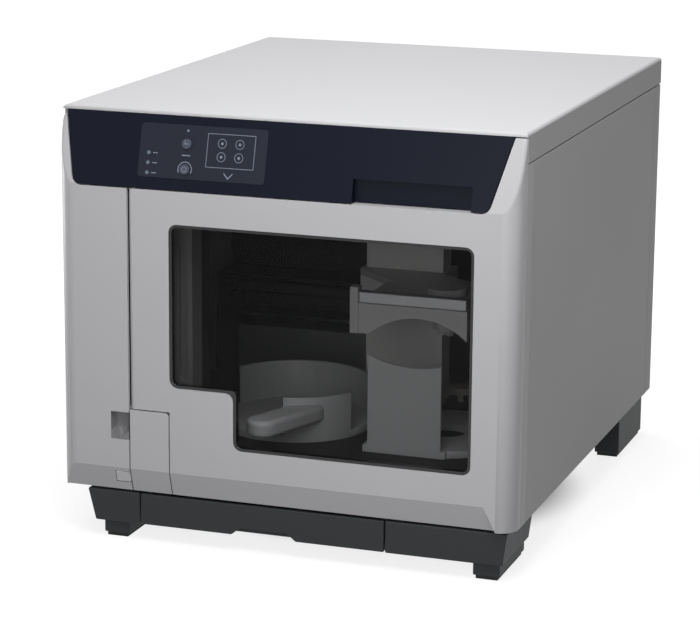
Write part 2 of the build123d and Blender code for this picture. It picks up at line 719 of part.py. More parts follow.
with BuildPart() as door_catch:
    block(STRIKE_LEFT + SKIN, STRIKE_RIGHT, FRAME_FRONT - CATCH_DEPTH, FRAME_FRONT, STRIKE_Z0, STRIKE_Z1)
save(door_catch, "door_catch")

# Ink cover with its recess and release tab
RECESS_LEFT = DOOR_SEAM_X - 16.0
RECESS_Z0 = 85.0
RECESS_Z1 = 107.5
RECESS_DEPTH = 9.5
TAB_LEFT = DOOR_SEAM_X - 13.0
TAB_Z0 = 49.0
TAB_Z1 = 58.0
TAB_LENGTH = 13.5
cover_edge = DOOR_SEAM_X - SEAM / 2
with BuildPart() as ink_cover:
    extrude(corner_skin(-1, cover_edge).moved(Location((0, 0, BODY_BOTTOM))), amount=DOOR_TOP - BODY_BOTTOM)
    extrude(corner_block(-1, -HORN_INNER).moved(Location((0, 0, DOOR_TOP))), amount=horn_height)
    with BuildSketch(front_plane(FRONT - SKIN)) as horn_cut:
        add(fascia_outline().moved(Location((0, -SKIN, 0))))
        offset(amount=SEAM)
    extrude(horn_cut.sketch, amount=-2 * DOOR_DEPTH, mode=Mode.SUBTRACT)
    block(FASCIA_LEFT, -HORN_INNER, *shoulder, Mode.SUBTRACT)
    add(tilt_tool.part, mode=Mode.SUBTRACT)
    block(
        -CORNER_CLEAR,
        cover_edge,
        FRONT + SKIN,
        FRONT + SKIN + RIM_THICK,
        BODY_BOTTOM,
        BODY_BOTTOM + RIM_HEIGHT,
    )
    block(
        RECESS_LEFT - SKIN,
        cover_edge,
        FRONT + SKIN,
        FRONT + SKIN + RECESS_DEPTH,
        RECESS_Z0 - SKIN,
        RECESS_Z1 + SKIN,
    )
    recess = (FRONT - SKIN, FRONT + RECESS_DEPTH, RECESS_Z0, RECESS_Z1)
    block(RECESS_LEFT, cover_edge + SEAM, *recess, Mode.SUBTRACT)
    block(
        LEFT - SEAM,
        INNER_LEFT + COVER_HINGE_RADIUS + SEAM,
        COVER_HINGE_Y,
        FRAME_FRONT + SEAM,
        BODY_BOTTOM - SEAM,
        LID_INSIDE,
        Mode.SUBTRACT,
    )
    block(LEFT, -HORN_INNER, COVER_HINGE_Y, FRAME_FRONT + SEAM, DOOR_TOP, LID_INSIDE, Mode.SUBTRACT)
    post(COVER_HINGE_X, COVER_HINGE_Y, BODY_BOTTOM, DOOR_TOP, COVER_HINGE_RADIUS)
    for lug_z in LUG_CENTRES:
        low = lug_z - LUG_HEIGHT / 2
        high = lug_z + LUG_HEIGHT / 2
        post(
            COVER_HINGE_X,
            COVER_HINGE_Y,
            low - PIN_ENGAGE,
            high + PIN_ENGAGE,
            COVER_PIN_RADIUS + RUNNING_FIT,
            Mode.SUBTRACT,
        )
        post(
            COVER_HINGE_X,
            COVER_HINGE_Y,
            low - SIDE_GAP,
            high + SIDE_GAP,
            COVER_HINGE_RADIUS + SIDE_GAP,
            Mode.SUBTRACT,
        )
    add(band_tool.part, mode=Mode.SUBTRACT)
    block(
        TAB_LEFT - SIDE_GAP,
        cover_edge + SEAM,
        FRONT - SKIN,
        DOOR_REAR,
        TAB_Z0 - SIDE_GAP,
        TAB_Z1 + SIDE_GAP,
        Mode.SUBTRACT,
    )
    soften_horn(ink_cover)
save(ink_cover, "ink_cover")

with BuildPart() as release_tab:
    block(TAB_LEFT, cover_edge - SIDE_GAP, FRONT, FRONT + TAB_LENGTH, TAB_Z0, TAB_Z1)
    add(band_tool.part, mode=Mode.SUBTRACT)
save(release_tab, "release_tab")

with BuildPart() as hinge_pins:
    lower_end = door_low + PIN_ENGAGE - SEAM
    post(DOOR_HINGE_X, DOOR_HINGE_Y, HINGE_COVER_TOP - PIN_ENGAGE, lower_end, PIN_RADIUS)
    upper_start = DOOR_TOP - PIN_ENGAGE + SEAM
    post(DOOR_HINGE_X, DOOR_HINGE_Y, upper_start, FASCIA_BOTTOM + UPPER_PIN_RISE, PIN_RADIUS)
    for lug_z in LUG_CENTRES:
        reach = LUG_HEIGHT / 2 + PIN_ENGAGE - SEAM
        post(COVER_HINGE_X, COVER_HINGE_Y, lug_z - reach, lug_z + reach, COVER_PIN_RADIUS)
save(hinge_pins, "hinge_pins")

# Ink bay with six cartridges, and the pale upright beside it
BAY_REAR = FRONT + 114.5
BAY_WALL = 2.5
BAY_TOP = FASCIA_BOTTOM - 3.0
CARTRIDGE_COUNT = 6
CARTRIDGE_WIDTH = 60.0
CARTRIDGE_HEIGHT = 30.0
CARTRIDGE_FRONT = FRONT + 27.5
bay_floor = DECK_TOP + BAY_WALL
bay_pitch = (BAY_TOP - BAY_WALL - bay_floor) / CARTRIDGE_COUNT
with BuildPart() as ink_bay:
    block(BAY_LEFT, BAY_RIGHT, FRAME_REAR, BAY_REAR, DECK_TOP, BAY_TOP)
    for index in range(CARTRIDGE_COUNT):
        shelf_z = bay_floor + index * bay_pitch
        block(
            BAY_LEFT + BAY_WALL,
            BAY_RIGHT - BAY_WALL,
            FRAME_REAR - SEAM,
            BAY_REAR - BAY_WALL,
            shelf_z,
            shelf_z + bay_pitch - BAY_WALL,
            Mode.SUBTRACT,
        )
save(ink_bay, "ink_bay")

with BuildPart() as ink_cartridges:
    cartridge_x = (BAY_LEFT + BAY_RIGHT) / 2
    for index in range(CARTRIDGE_COUNT):
        shelf_z = bay_floor + index * bay_pitch
        block(
            cartridge_x - CARTRIDGE_WIDTH / 2,
            cartridge_x + CARTRIDGE_WIDTH / 2,
            CARTRIDGE_FRONT,
            BAY_REAR - BAY_WALL,
            shelf_z,
            shelf_z + CARTRIDGE_HEIGHT,
        )
save(ink_cartridges, "ink_cartridges")

POST_RIGHT = BAY_RIGHT + 22.0
POST_DEPTH = 20.0
GROOVE_WIDTH = 7.0
GROOVE_DEPTH = 5.0
GROOVE_OFFSET = 3.0
GROOVE_Z0 = 132.0
GROOVE_Z1 = BAY_TOP - 36.0
with BuildPart() as bay_post:
    block(BAY_RIGHT, POST_RIGHT, FRAME_REAR, FRAME_REAR + POST_DEPTH, DECK_TOP, BAY_TOP)
    with BuildSketch(front_plane(FRAME_REAR)) as groove:
        with Locations(((BAY_RIGHT + POST_RIGHT) / 2 + GROOVE_OFFSET, (GROOVE_Z0 + GROOVE_Z1) / 2)):
            SlotOverall(GROOVE_Z1 - GROOVE_Z0, GROOVE_WIDTH, rotation=90)
    extrude(groove.sketch, amount=-GROOVE_DEPTH, mode=Mode.SUBTRACT)
save(bay_post, "bay_post")

# Disc bins
BIN_WALL = 2.5
BIN_INNER = DISC_RADIUS + 1.0
BIN_OUTER = BIN_INNER + BIN_WALL
BIN_BASE = 6.0
TALL_TOP = 150.0
LOW_TOP = 104.0
TALL_SPANS = ((-20, 50),)
LOW_SPANS = ((-80, -25), (20, 160))
SCOOP_RADIUS = 90.0
SCOOP_X = BIN_1_X - 8.0
SCOOP_LOW = TALL_TOP - 11.0
BIN_HUB_HOLE = 20.0


def bin_walls(centre_x, top, spans):
    """Curved walls of a bin, each over a span of angles in degrees."""
    height = top - DECK_TOP - BIN_BASE
    for start, end in spans:
        with BuildSketch(Plane.XY.offset(DECK_TOP + BIN_BASE)) as wall:
            with BuildLine():
                CenterArc((centre_x, BIN_FRONT_Y), BIN_OUTER, start, end - start)
                CenterArc((centre_x, BIN_FRONT_Y), BIN_INNER, start, end - start)
                for angle in (radians(start), radians(end)):
                    inner = (centre_x + BIN_INNER * cos(angle), BIN_FRONT_Y + BIN_INNER * sin(angle))
                    outer = (centre_x + BIN_OUTER * cos(angle), BIN_FRONT_Y + BIN_OUTER * sin(angle))
                    Line(inner, outer)
            make_face()
        extrude(wall.sketch, amount=height)


GUARD_LEFT = BIN_1_X - 46.0
GUARD_RIGHT = BIN_1_X + 16.0
GUARD_FRONT = BIN_FRONT_Y - 64.0
GUARD_LIP = 4.0
with BuildPart() as stacker_1:
    post(BIN_1_X, BIN_FRONT_Y, DECK_TOP, DECK_TOP + BIN_BASE, BIN_OUTER)
    block(
        GUARD_LEFT - GUARD_LIP,
        GUARD_RIGHT + GUARD_LIP,
        GUARD_FRONT,
        BIN_FRONT_Y,
        DECK_TOP,
        DECK_TOP + BIN_BASE,
    )
    post(BIN_1_X, BIN_FRONT_Y, DECK_TOP, DECK_TOP + BIN_BASE, BIN_HUB_HOLE, Mode.SUBTRACT)
    bin_walls(BIN_1_X, TALL_TOP, TALL_SPANS)
    block(GUARD_LEFT, GUARD_RIGHT, GUARD_FRONT, GUARD_FRONT + BIN_WALL, DECK_TOP + BIN_BASE, TALL_TOP)
    bar_y(
        SCOOP_X,
        GUARD_FRONT - SEAM,
        GUARD_FRONT + BIN_WALL + SEAM,
        SCOOP_LOW + SCOOP_RADIUS,
        SCOOP_RADIUS,
        Mode.SUBTRACT,
    )
save(stacker_1, "stacker_1")

with BuildPart() as stacker_2:
    post(BIN_2_X, BIN_FRONT_Y, DECK_TOP, DECK_TOP + BIN_BASE, BIN_OUTER)
    post(BIN_2_X, BIN_FRONT_Y, DECK_TOP, DECK_TOP + BIN_BASE, BIN_HUB_HOLE, Mode.SUBTRACT)
    bin_walls(BIN_2_X, LOW_TOP, LOW_SPANS)
save(stacker_2, "stacker_2")

GRIP_ROOT_X = BIN_2_X + 29.0
GRIP_ROOT_Y = BIN_FRONT_Y - 53.0
GRIP_TIP_X = BIN_2_X + 10.0
GRIP_TIP_Y = BIN_FRONT_Y - 106.0
GRIP_WIDTH = 26.0
GRIP_Z0 = 84.0
GRIP_HEIGHT = 14.0
GRIP_EDGE = 4.0
with BuildPart() as stacker_grip:
    grip_middle = ((GRIP_ROOT_X + GRIP_TIP_X) / 2, (GRIP_ROOT_Y + GRIP_TIP_Y) / 2)
    with BuildSketch(Plane.XY.offset(GRIP_Z0)):
        SlotCenterPoint(grip_middle, (GRIP_TIP_X, GRIP_TIP_Y), GRIP_WIDTH)
    extrude(amount=GRIP_HEIGHT)
    fillet(stacker_grip.edges().filter_by(Axis.Z, reverse=True), radius=GRIP_EDGE)
    post(BIN_2_X, BIN_FRONT_Y, GRIP_Z0 - SEAM, GRIP_Z0 + GRIP_HEIGHT + SEAM, BIN_OUTER, Mode.SUBTRACT)
save(stacker_grip, "stacker_grip")

# Output drawer and its rails
DRAWER_FRONT_THICK = 5.0
DRAWER_WALL = 2.5
DRAWER_FLOOR = 16.0
DRAWER_FLOOR_THICK = 3.0
DRAWER_TOP = 38.0
DRAWER_REAR = BIN_FRONT_Y + 77.0
RAIL_SPACE = 5.5
RAIL_WIDTH = 4.7
RAIL_DROP = 4.0
FLANGE_REACH = 2.5
FLANGE_Z0 = 27.0
FLANGE_THICK = 2.0
NOTCH_LEFT = -44.0
NOTCH_RIGHT = 10.0
NOTCH_SLANT = 7.5
NOTCH_HEIGHT = 6.0
box_left = DRAWER_LEFT + RAIL_SPACE
box_right = DRAWER_RIGHT - RAIL_SPACE
box_front = SKIRT_FRONT + DRAWER_FRONT_THICK
pocket_floor = DRAWER_FLOOR + DRAWER_FLOOR_THICK
with BuildPart() as disc_drawer:
    block(box_left, box_right, box_front, DRAWER_REAR, DRAWER_FLOOR, DRAWER_TOP)
    block(
        box_left + DRAWER_WALL,
        box_right - DRAWER_WALL,
        box_front + DRAWER_WALL,
        DRAWER_REAR - DRAWER_WALL,
        pocket_floor,
        DRAWER_TOP,
        Mode.SUBTRACT,
    )
    post(BIN_2_X, BIN_FRONT_Y, pocket_floor, DRAWER_TOP, WELL_RADIUS + DRAWER_WALL)
    post(BIN_2_X, BIN_FRONT_Y, pocket_floor, DRAWER_TOP, WELL_RADIUS, Mode.SUBTRACT)
    flange_top = FLANGE_Z0 + FLANGE_THICK
    block(box_left - FLANGE_REACH, box_left, box_front, DRAWER_REAR, FLANGE_Z0, flange_top)
    block(box_right, box_right + FLANGE_REACH, box_front, DRAWER_REAR, FLANGE_Z0, flange_top)
save(disc_drawer, "disc_drawer")

with BuildPart() as drawer_front:
    front_low = SKIRT_BOTTOM + SIDE_GAP
    block(DRAWER_LEFT, DRAWER_RIGHT, SKIRT_FRONT, box_front, front_low, PAN_BOTTOM - SIDE_GAP)
    with BuildSketch(front_plane(SKIRT_FRONT - SEAM)) as notch:
        with BuildLine():
            Polyline(
                (NOTCH_LEFT, front_low),
                (NOTCH_RIGHT, front_low),
                (NOTCH_RIGHT - NOTCH_SLANT, front_low + NOTCH_HEIGHT),
                (NOTCH_LEFT + NOTCH_SLANT, front_low + NOTCH_HEIGHT),
                close=True,
            )
        make_face()
    extrude(notch.sketch, amount=-(DRAWER_FRONT_THICK + 2 * SEAM), mode=Mode.SUBTRACT)
save(drawer_front, "drawer_front")

with BuildPart() as drawer_rails:
    rail_front = box_front + 2 * RAIL_WIDTH
    for side, inner_x in ((-1, box_left), (1, box_right)):
        near = inner_x + side * SIDE_GAP
        far = near + side * RAIL_WIDTH
        groove_end = inner_x + side * (FLANGE_REACH + SIDE_GAP)
        block(*sorted((near, far)), rail_front, DRAWER_REAR, FLANGE_Z0 - RAIL_DROP, PAN_BOTTOM)
        block(
            *sorted((near - side * SEAM, groove_end)),
            rail_front - SEAM,
            DRAWER_REAR + SEAM,
            FLANGE_Z0 - SIDE_GAP,
            FLANGE_Z0 + FLANGE_THICK + SIDE_GAP,
            Mode.SUBTRACT,
        )
save(drawer_rails, "drawer_rails")

# Turret that swings the arm
TURRET_BASE_HEIGHT = 6.0
TURRET_BASE_RADIUS = 34.0
HUB_RADIUS = 10.0
HUB_HEIGHT = 14.0
GEAR_THICK = 8.0
PINION_THICK = 6.0
COLUMN_LEFT = TURRET_X - 30.0
COLUMN_RIGHT = TURRET_X + 38.0
COLUMN_FRONT = TURRET_Y - 20.0
COLUMN_REAR = TURRET_Y + 3.0
COLUMN_WALL = 2.5
COLUMN_TOP = HEIGHT - 38.0
SPIGOT_RADIUS = 6.0
BRIDGE_BOTTOM = COLUMN_TOP + 8.0
BRIDGE_THICK = 6.0
BRIDGE_WIDTH = 20.0
ROD_Y = TURRET_Y - 5.0
ROD_SPACING = 40.0
ROD_XS = (TURRET_X - 16.0, TURRET_X - 16.0 + ROD_SPACING)
ROD_RADIUS = 3.0
SCREW_X = TURRET_X + 4.0
LEAD_RADIUS = 4.0
JOURNAL_RADIUS = 2.0
MOTOR_SIZE = 30.0
turret_base_top = DECK_TOP + TURRET_BASE_HEIGHT
gear_low = turret_base_top + SIDE_GAP
gear_high = gear_low + GEAR_THICK


def gear_face(teeth, phase):
    """Corner points of a straight-sided gear, from its tooth count and module."""
    pitch_radius = GEAR_MODULE * teeth / 2
    root = pitch_radius - TOOTH_DEPTH * GEAR_MODULE
    tip = pitch_radius + TOOTH_HEIGHT * GEAR_MODULE
    step = 2 * pi / teeth
    points = []
    for index in range(teeth):
        middle = phase + index * step
        corners = ((root, -TOOTH_FOOT), (tip, -TOOTH_CREST), (tip, TOOTH_CREST), (root, TOOTH_FOOT))
        for radius, share in corners:
            angle = middle + share * step
            points.append((radius * cos(angle), radius * sin(angle)))
    return points


with BuildPart() as turret_base:
    post(TURRET_X, TURRET_Y, DECK_TOP, turret_base_top, TURRET_BASE_RADIUS)
    post(TURRET_X, TURRET_Y, DECK_TOP, DECK_TOP + HUB_HEIGHT, HUB_RADIUS)
save(turret_base, "turret_base")

with BuildPart() as turret_gear:
    with BuildSketch(Plane.XY.offset(gear_low)):
        with BuildLine():
            gear_points = gear_face(TURRET_TEETH, radians(PINION_ANGLE))
            Polyline(*[(TURRET_X + px, TURRET_Y + py) for px, py in gear_points], close=True)
        make_face()
    extrude(amount=GEAR_THICK)
    post(TURRET_X, TURRET_Y, gear_low, gear_high, HUB_RADIUS + RUNNING_FIT, Mode.SUBTRACT)
save(turret_gear, "turret_gear")

with BuildPart() as swing_pinion:
    pinion_low = gear_low + SEAM
    with BuildSketch(Plane.XY.offset(pinion_low)):
        with BuildLine():
            pinion_points = gear_face(PINION_TEETH, radians(PINION_ANGLE) + pi + pi / PINION_TEETH)
            Polyline(*[(PINION_X + px, PINION_Y + py) for px, py in pinion_points], close=True)
        make_face()
    extrude(amount=PINION_THICK)
    post(PINION_X, PINION_Y, BOARD_Z - 2 * SHAFT_RADIUS, pinion_low, SHAFT_RADIUS)
save(swing_pinion, "swing_pinion")

with BuildPart() as swing_motor:
    half = MOTOR_SIZE / 2
    block(PINION_X - half, PINION_X + half, PINION_Y - half, PINION_Y + half, PAN_TOP, BOARD_Z)
    fillet(swing_motor.edges().filter_by(Axis.Z), radius=SKIN)
    shaft_floor = BOARD_Z - 2 * SHAFT_RADIUS - SEAM
    post(PINION_X, PINION_Y, shaft_floor, BOARD_Z, SHAFT_RADIUS + RUNNING_FIT, Mode.SUBTRACT)
save(swing_motor, "swing_motor")

with BuildPart() as turret_column:
    block(COLUMN_LEFT, COLUMN_RIGHT, COLUMN_FRONT, COLUMN_REAR, gear_high, COLUMN_TOP)
    block(
        COLUMN_LEFT + COLUMN_WALL,
        COLUMN_RIGHT - COLUMN_WALL,
        COLUMN_FRONT + COLUMN_WALL,
        COLUMN_REAR + SEAM,
        gear_high + SKIN,
        COLUMN_TOP - SKIN,
        Mode.SUBTRACT,
    )
    post(TURRET_X, TURRET_Y, COLUMN_TOP - SEAM, BRIDGE_BOTTOM + BRIDGE_THICK, SPIGOT_RADIUS)
    post(SCREW_X, ROD_Y, gear_high, COLUMN_TOP, JOURNAL_RADIUS + RUNNING_FIT, Mode.SUBTRACT)
save(turret_column, "turret_column")

with BuildPart() as guide_rods:
    for rod_x in ROD_XS:
        post(rod_x, ROD_Y, gear_high + SKIN, COLUMN_TOP - SKIN, ROD_RADIUS)
save(guide_rods, "guide_rods")

with BuildPart() as lead_screw:
    post(SCREW_X, ROD_Y, gear_high + SKIN + SIDE_GAP, COLUMN_TOP - SKIN - SIDE_GAP, LEAD_RADIUS)
    post(SCREW_X, ROD_Y, gear_high + SIDE_GAP, COLUMN_TOP - SIDE_GAP, JOURNAL_RADIUS)
save(lead_screw, "lead_screw")

with BuildPart() as top_bridge:
    bridge_end = INNER_RIGHT - SKIN
    bridge_top = BRIDGE_BOTTOM + BRIDGE_THICK
    half = BRIDGE_WIDTH / 2
    block(-bridge_end, bridge_end, TURRET_Y - half, TURRET_Y + half, BRIDGE_BOTTOM, bridge_top)
    post(TURRET_X, TURRET_Y, BRIDGE_BOTTOM, bridge_top, SPIGOT_RADIUS + RUNNING_FIT, Mode.SUBTRACT)
save(top_bridge, "top_bridge")

# Arm, its bright bar and the gripper
ARM_LOW = 165.0
ARM_TOP = 187.0
ARM_PLATE = 6.0
HEAD_LEFT = BIN_1_X - 60.0
HEAD_RIGHT = BIN_1_X + 34.0
HEAD_FRONT = BIN_FRONT_Y - 56.0
HEAD_REAR = BIN_FRONT_Y + 30.0
HEAD_WALL = 2.5
HEAD_LOW = 162.0
HEAD_SIDE_LOW = 168.0
ARCH_X = BIN_1_X - 7.0
ARCH_TOP = 178.0
ARCH_RADIUS = 61.0
BRACKET_LEFT = HEAD_LEFT - 4.0
BRACKET_RIGHT = BRACKET_LEFT + 7.0
BRACKET_DEPTH = 10.0
BRACKET_TOP = 200.0
TOP_BAR_HEIGHT = 10.0
TOP_BAR_DEPTH = 8.0
CHEEK_GAP = 0.6
CHEEK_THICK = 2.9
CARRIAGE_MARGIN = 5.0
GRIPPER_RADIUS = 10.9
GRIPPER_FLANGE = 16.0
GRIPPER_LOW = 158.0
CLAW_ANGLES = (90, 210, 330)
CLAW_INNER = 2.0
CLAW_OUTER = 6.3
CLAW_WIDTH = 4.0
CLAW_LOW = 153.0
CLAW_TOP = 168.0

with BuildPart() as arm_beam:
    ring_left = COLUMN_LEFT - CHEEK_GAP - CHEEK_THICK
    ring_right = COLUMN_RIGHT + CHEEK_GAP + CHEEK_THICK
    ring_front = COLUMN_FRONT - CHEEK_GAP - ARM_PLATE
    ring_back = COLUMN_REAR + 2 * SEAM
    block(ring_left, ring_right, ring_front, ring_back + ARM_PLATE, ARM_LOW, ARM_TOP)
    block(
        COLUMN_LEFT - CHEEK_GAP,
        COLUMN_RIGHT + CHEEK_GAP,
        COLUMN_FRONT - CHEEK_GAP,
        ring_back,
        ARM_LOW,
        ARM_TOP,
        Mode.SUBTRACT,
    )
    block(
        COLUMN_LEFT + CARRIAGE_MARGIN,
        COLUMN_RIGHT - CARRIAGE_MARGIN,
        COLUMN_FRONT + COLUMN_WALL + CARRIAGE_MARGIN,
        ring_back,
        ARM_LOW,
        ARM_TOP,
    )
    with BuildSketch(Plane.XY.offset(ARM_TOP - ARM_PLATE)):
        with BuildLine():
            Polyline(
                (ring_left, ring_front + SEAM),
                (ring_left, ring_front),
                (HEAD_LEFT + ARM_PLATE, HEAD_REAR),
                (HEAD_LEFT, HEAD_REAR),
                (HEAD_LEFT, HEAD_FRONT),
                (HEAD_RIGHT, HEAD_FRONT),
                (HEAD_RIGHT, HEAD_REAR),
                (ring_right, ring_front),
                (ring_right, ring_front + SEAM),
                close=True,
            )
        make_face()
    extrude(amount=ARM_PLATE)
    block(HEAD_LEFT, HEAD_RIGHT, HEAD_FRONT, HEAD_FRONT + HEAD_WALL, HEAD_LOW, ARM_TOP)
    for wall_x in (HEAD_LEFT, HEAD_RIGHT - HEAD_WALL):
        block(wall_x, wall_x + HEAD_WALL, HEAD_FRONT, HEAD_REAR, HEAD_SIDE_LOW, ARM_TOP)
    bar_y(
        ARCH_X,
        HEAD_FRONT - SEAM,
        HEAD_FRONT + HEAD_WALL + SEAM,
        ARCH_TOP - ARCH_RADIUS,
        ARCH_RADIUS,
        Mode.SUBTRACT,
    )
    block(
        BRACKET_LEFT,
        BRACKET_RIGHT,
        HEAD_FRONT - SEAM,
        HEAD_FRONT - SEAM + BRACKET_DEPTH,
        HEAD_LOW,
        BRACKET_TOP,
    )
    post(BIN_1_X, BIN_FRONT_Y, ARM_TOP - ARM_PLATE, ARM_TOP, GRIPPER_RADIUS, Mode.SUBTRACT)
    for rod_x in ROD_XS:
        post(rod_x, ROD_Y, ARM_LOW, ARM_TOP, ROD_RADIUS + RUNNING_FIT, Mode.SUBTRACT)
    post(SCREW_X, ROD_Y, ARM_LOW, ARM_TOP, LEAD_RADIUS + RUNNING_FIT, Mode.SUBTRACT)
save(arm_beam, "arm_beam")

with BuildPart() as arm_top_bar:
    bar_front = HEAD_FRONT - SEAM
    block(BRACKET_RIGHT, HEAD_RIGHT, bar_front, bar_front + TOP_BAR_DEPTH, ARM_TOP, ARM_TOP + TOP_BAR_HEIGHT)
save(arm_top_bar, "arm_top_bar")

with BuildPart() as gripper_hub:
    post(BIN_1_X, BIN_FRONT_Y, GRIPPER_LOW, ARM_TOP, GRIPPER_RADIUS)
    post(BIN_1_X, BIN_FRONT_Y, ARM_TOP, ARM_TOP + ARM_PLATE, GRIPPER_FLANGE)
    for angle in CLAW_ANGLES:
        slot_inner = CLAW_INNER - SIDE_GAP
        slot_outer = GRIPPER_RADIUS + SEAM
        with Locations(Location((BIN_1_X, BIN_FRONT_Y, 0), (0, 0, angle))):
            slot_middle = (GRIPPER_LOW - SEAM + CLAW_TOP + SIDE_GAP) / 2
            with Locations(((slot_inner + slot_outer) / 2, 0, slot_middle)):
                Box(
                    slot_outer - slot_inner,
                    CLAW_WIDTH + 2 * SIDE_GAP,
                    CLAW_TOP + SIDE_GAP - GRIPPER_LOW + SEAM,
                    mode=Mode.SUBTRACT,
                )
save(gripper_hub, "gripper_hub")

for index, angle in enumerate(CLAW_ANGLES):
    with BuildPart() as claw:
        with Locations(Location((BIN_1_X, BIN_FRONT_Y, 0), (0, 0, angle))):
            with Locations(((CLAW_INNER + CLAW_OUTER) / 2, 0, (CLAW_LOW + CLAW_TOP) / 2)):
                Box(CLAW_OUTER - CLAW_INNER, CLAW_WIDTH, CLAW_TOP - CLAW_LOW)
    save(claw, f"gripper_claw_{index + 1}")

# Printer at the back: case, tray, roller, carriage
CASE_LEFT = INNER_LEFT + 7.5
CASE_RIGHT = 70.0
CASE_REAR = REAR - 6.5
CASE_FRONT = CASE_REAR - 152.0
CASE_UPPER_FRONT = CASE_REAR - 114.0
CASE_LEDGE = 155.0
CASE_SHELF = 118.0
CASE_TOP = 262.0
TRAY_REST_Y = CASE_REAR - 85.0
TRAY_WIDTH = 128.0
TRAY_LENGTH = 126.0
TRAY_TAIL = 17.0
TRAY_Z0 = 140.0
TRAY_THICK = 8.0
TRAY_WELL_DEPTH = 3.0
GUIDE_FRONT = CASE_FRONT - 12.0
GUIDE_WALL = 5.0
GUIDE_LEDGE = 5.0
ROLLER_Y = CASE_FRONT + 26.0
ROLLER_RADIUS = 9.0
RAIL_Y = CASE_UPPER_FRONT + 18.0
RAIL_Z = 200.0
RAIL_RADIUS = 5.0
HEAD_CENTRE_X = 35.0
HEAD_WIDTH = 54.0
HEAD_Y0 = CASE_UPPER_FRONT + 6.0
HEAD_Y1 = HEAD_Y0 + 44.0
HEAD_Z0 = 156.0
HEAD_Z1 = 225.0
tray_left = TRAY_X - TRAY_WIDTH / 2
tray_right = TRAY_X + TRAY_WIDTH / 2
shelf_top = CASE_SHELF + SKIN
guide_left = tray_left - SIDE_GAP - GUIDE_WALL
guide_right = tray_right + SIDE_GAP + GUIDE_WALL
with BuildPart() as printer_case:
    block(CASE_LEFT, CASE_RIGHT, CASE_FRONT, CASE_REAR, PAN_TOP, CASE_LEDGE)
    block(CASE_LEFT, CASE_RIGHT, CASE_UPPER_FRONT, CASE_REAR, CASE_LEDGE, CASE_TOP)
    room_left = CASE_LEFT + SKIN
    room_right = CASE_RIGHT - SKIN
    room_rear = CASE_REAR - SKIN
    upper_front = CASE_UPPER_FRONT + SKIN
    block(room_left, room_right, CASE_FRONT + SKIN, room_rear, shelf_top, CASE_LEDGE - SKIN, Mode.SUBTRACT)
    block(room_left, room_right, upper_front, room_rear, shelf_top, CASE_TOP - SKIN, Mode.SUBTRACT)
    block(
        room_left, room_right, CASE_FRONT - SEAM, CASE_REAR + SEAM, PAN_TOP - SEAM, CASE_SHELF, Mode.SUBTRACT
    )
    block(
        guide_left - SEAM, guide_right + SEAM, CASE_FRONT - SEAM, CASE_FRONT + SKIN + SEAM, shelf_top,
        CASE_LEDGE - SKIN, Mode.SUBTRACT
    )
save(printer_case, "printer_case")

roller_z = TRAY_Z0 - SIDE_GAP - ROLLER_RADIUS
guide_rear = CASE_REAR - SKIN - 2 * SEAM
with BuildPart() as tray_guides:
    for side, wall_x in ((1, guide_left), (-1, guide_right)):
        inner = wall_x + side * GUIDE_WALL
        ledge = inner + side * GUIDE_LEDGE
        block(*sorted((wall_x, inner)), GUIDE_FRONT, guide_rear, shelf_top, TRAY_Z0 + TRAY_THICK)
        block(*sorted((inner, ledge)), GUIDE_FRONT, guide_rear, shelf_top, TRAY_Z0 - SIDE_GAP)
    inner_span = (guide_left + GUIDE_WALL, guide_right - GUIDE_WALL)
    bar_x(*inner_span, ROLLER_Y, roller_z, SHAFT_RADIUS + RUNNING_FIT, Mode.SUBTRACT)
save(tray_guides, "tray_guides")

with BuildPart() as tray_roller:
    roller_margin = GUIDE_WALL + GUIDE_LEDGE + SEAM
    bar_x(guide_left + roller_margin, guide_right - roller_margin, ROLLER_Y, roller_z, ROLLER_RADIUS)
    shaft_margin = GUIDE_WALL + SIDE_GAP
    bar_x(guide_left + shaft_margin, guide_right - shaft_margin, ROLLER_Y, roller_z, SHAFT_RADIUS)
save(tray_roller, "tray_roller")

with BuildPart() as printer_tray:
    tray_top = TRAY_Z0 + TRAY_THICK
    tray_y0 = TRAY_REST_Y - TRAY_LENGTH / 2
    tray_y1 = TRAY_REST_Y + TRAY_LENGTH / 2 + TRAY_TAIL
    block(tray_left, tray_right, tray_y0, tray_y1, TRAY_Z0, tray_top)
    post(TRAY_X, TRAY_REST_Y, tray_top - TRAY_WELL_DEPTH, tray_top, DISC_RADIUS + SIDE_GAP, Mode.SUBTRACT)
    post(TRAY_X, TRAY_REST_Y, TRAY_Z0, tray_top, BIN_HUB_HOLE / 2, Mode.SUBTRACT)
save(printer_tray, "printer_tray")

with BuildPart() as carriage_rail:
    bar_x(CASE_LEFT + SKIN, CASE_RIGHT - SKIN, RAIL_Y, RAIL_Z, RAIL_RADIUS)
save(carriage_rail, "carriage_rail")

with BuildPart() as print_carriage:
    half = HEAD_WIDTH / 2
    block(HEAD_CENTRE_X - half, HEAD_CENTRE_X + half, HEAD_Y0, HEAD_Y1, HEAD_Z0, HEAD_Z1)
    bar_x(
        HEAD_CENTRE_X - half, HEAD_CENTRE_X + half, RAIL_Y, RAIL_Z, RAIL_RADIUS + RUNNING_FIT, Mode.SUBTRACT
    )
save(print_carriage, "print_carriage")

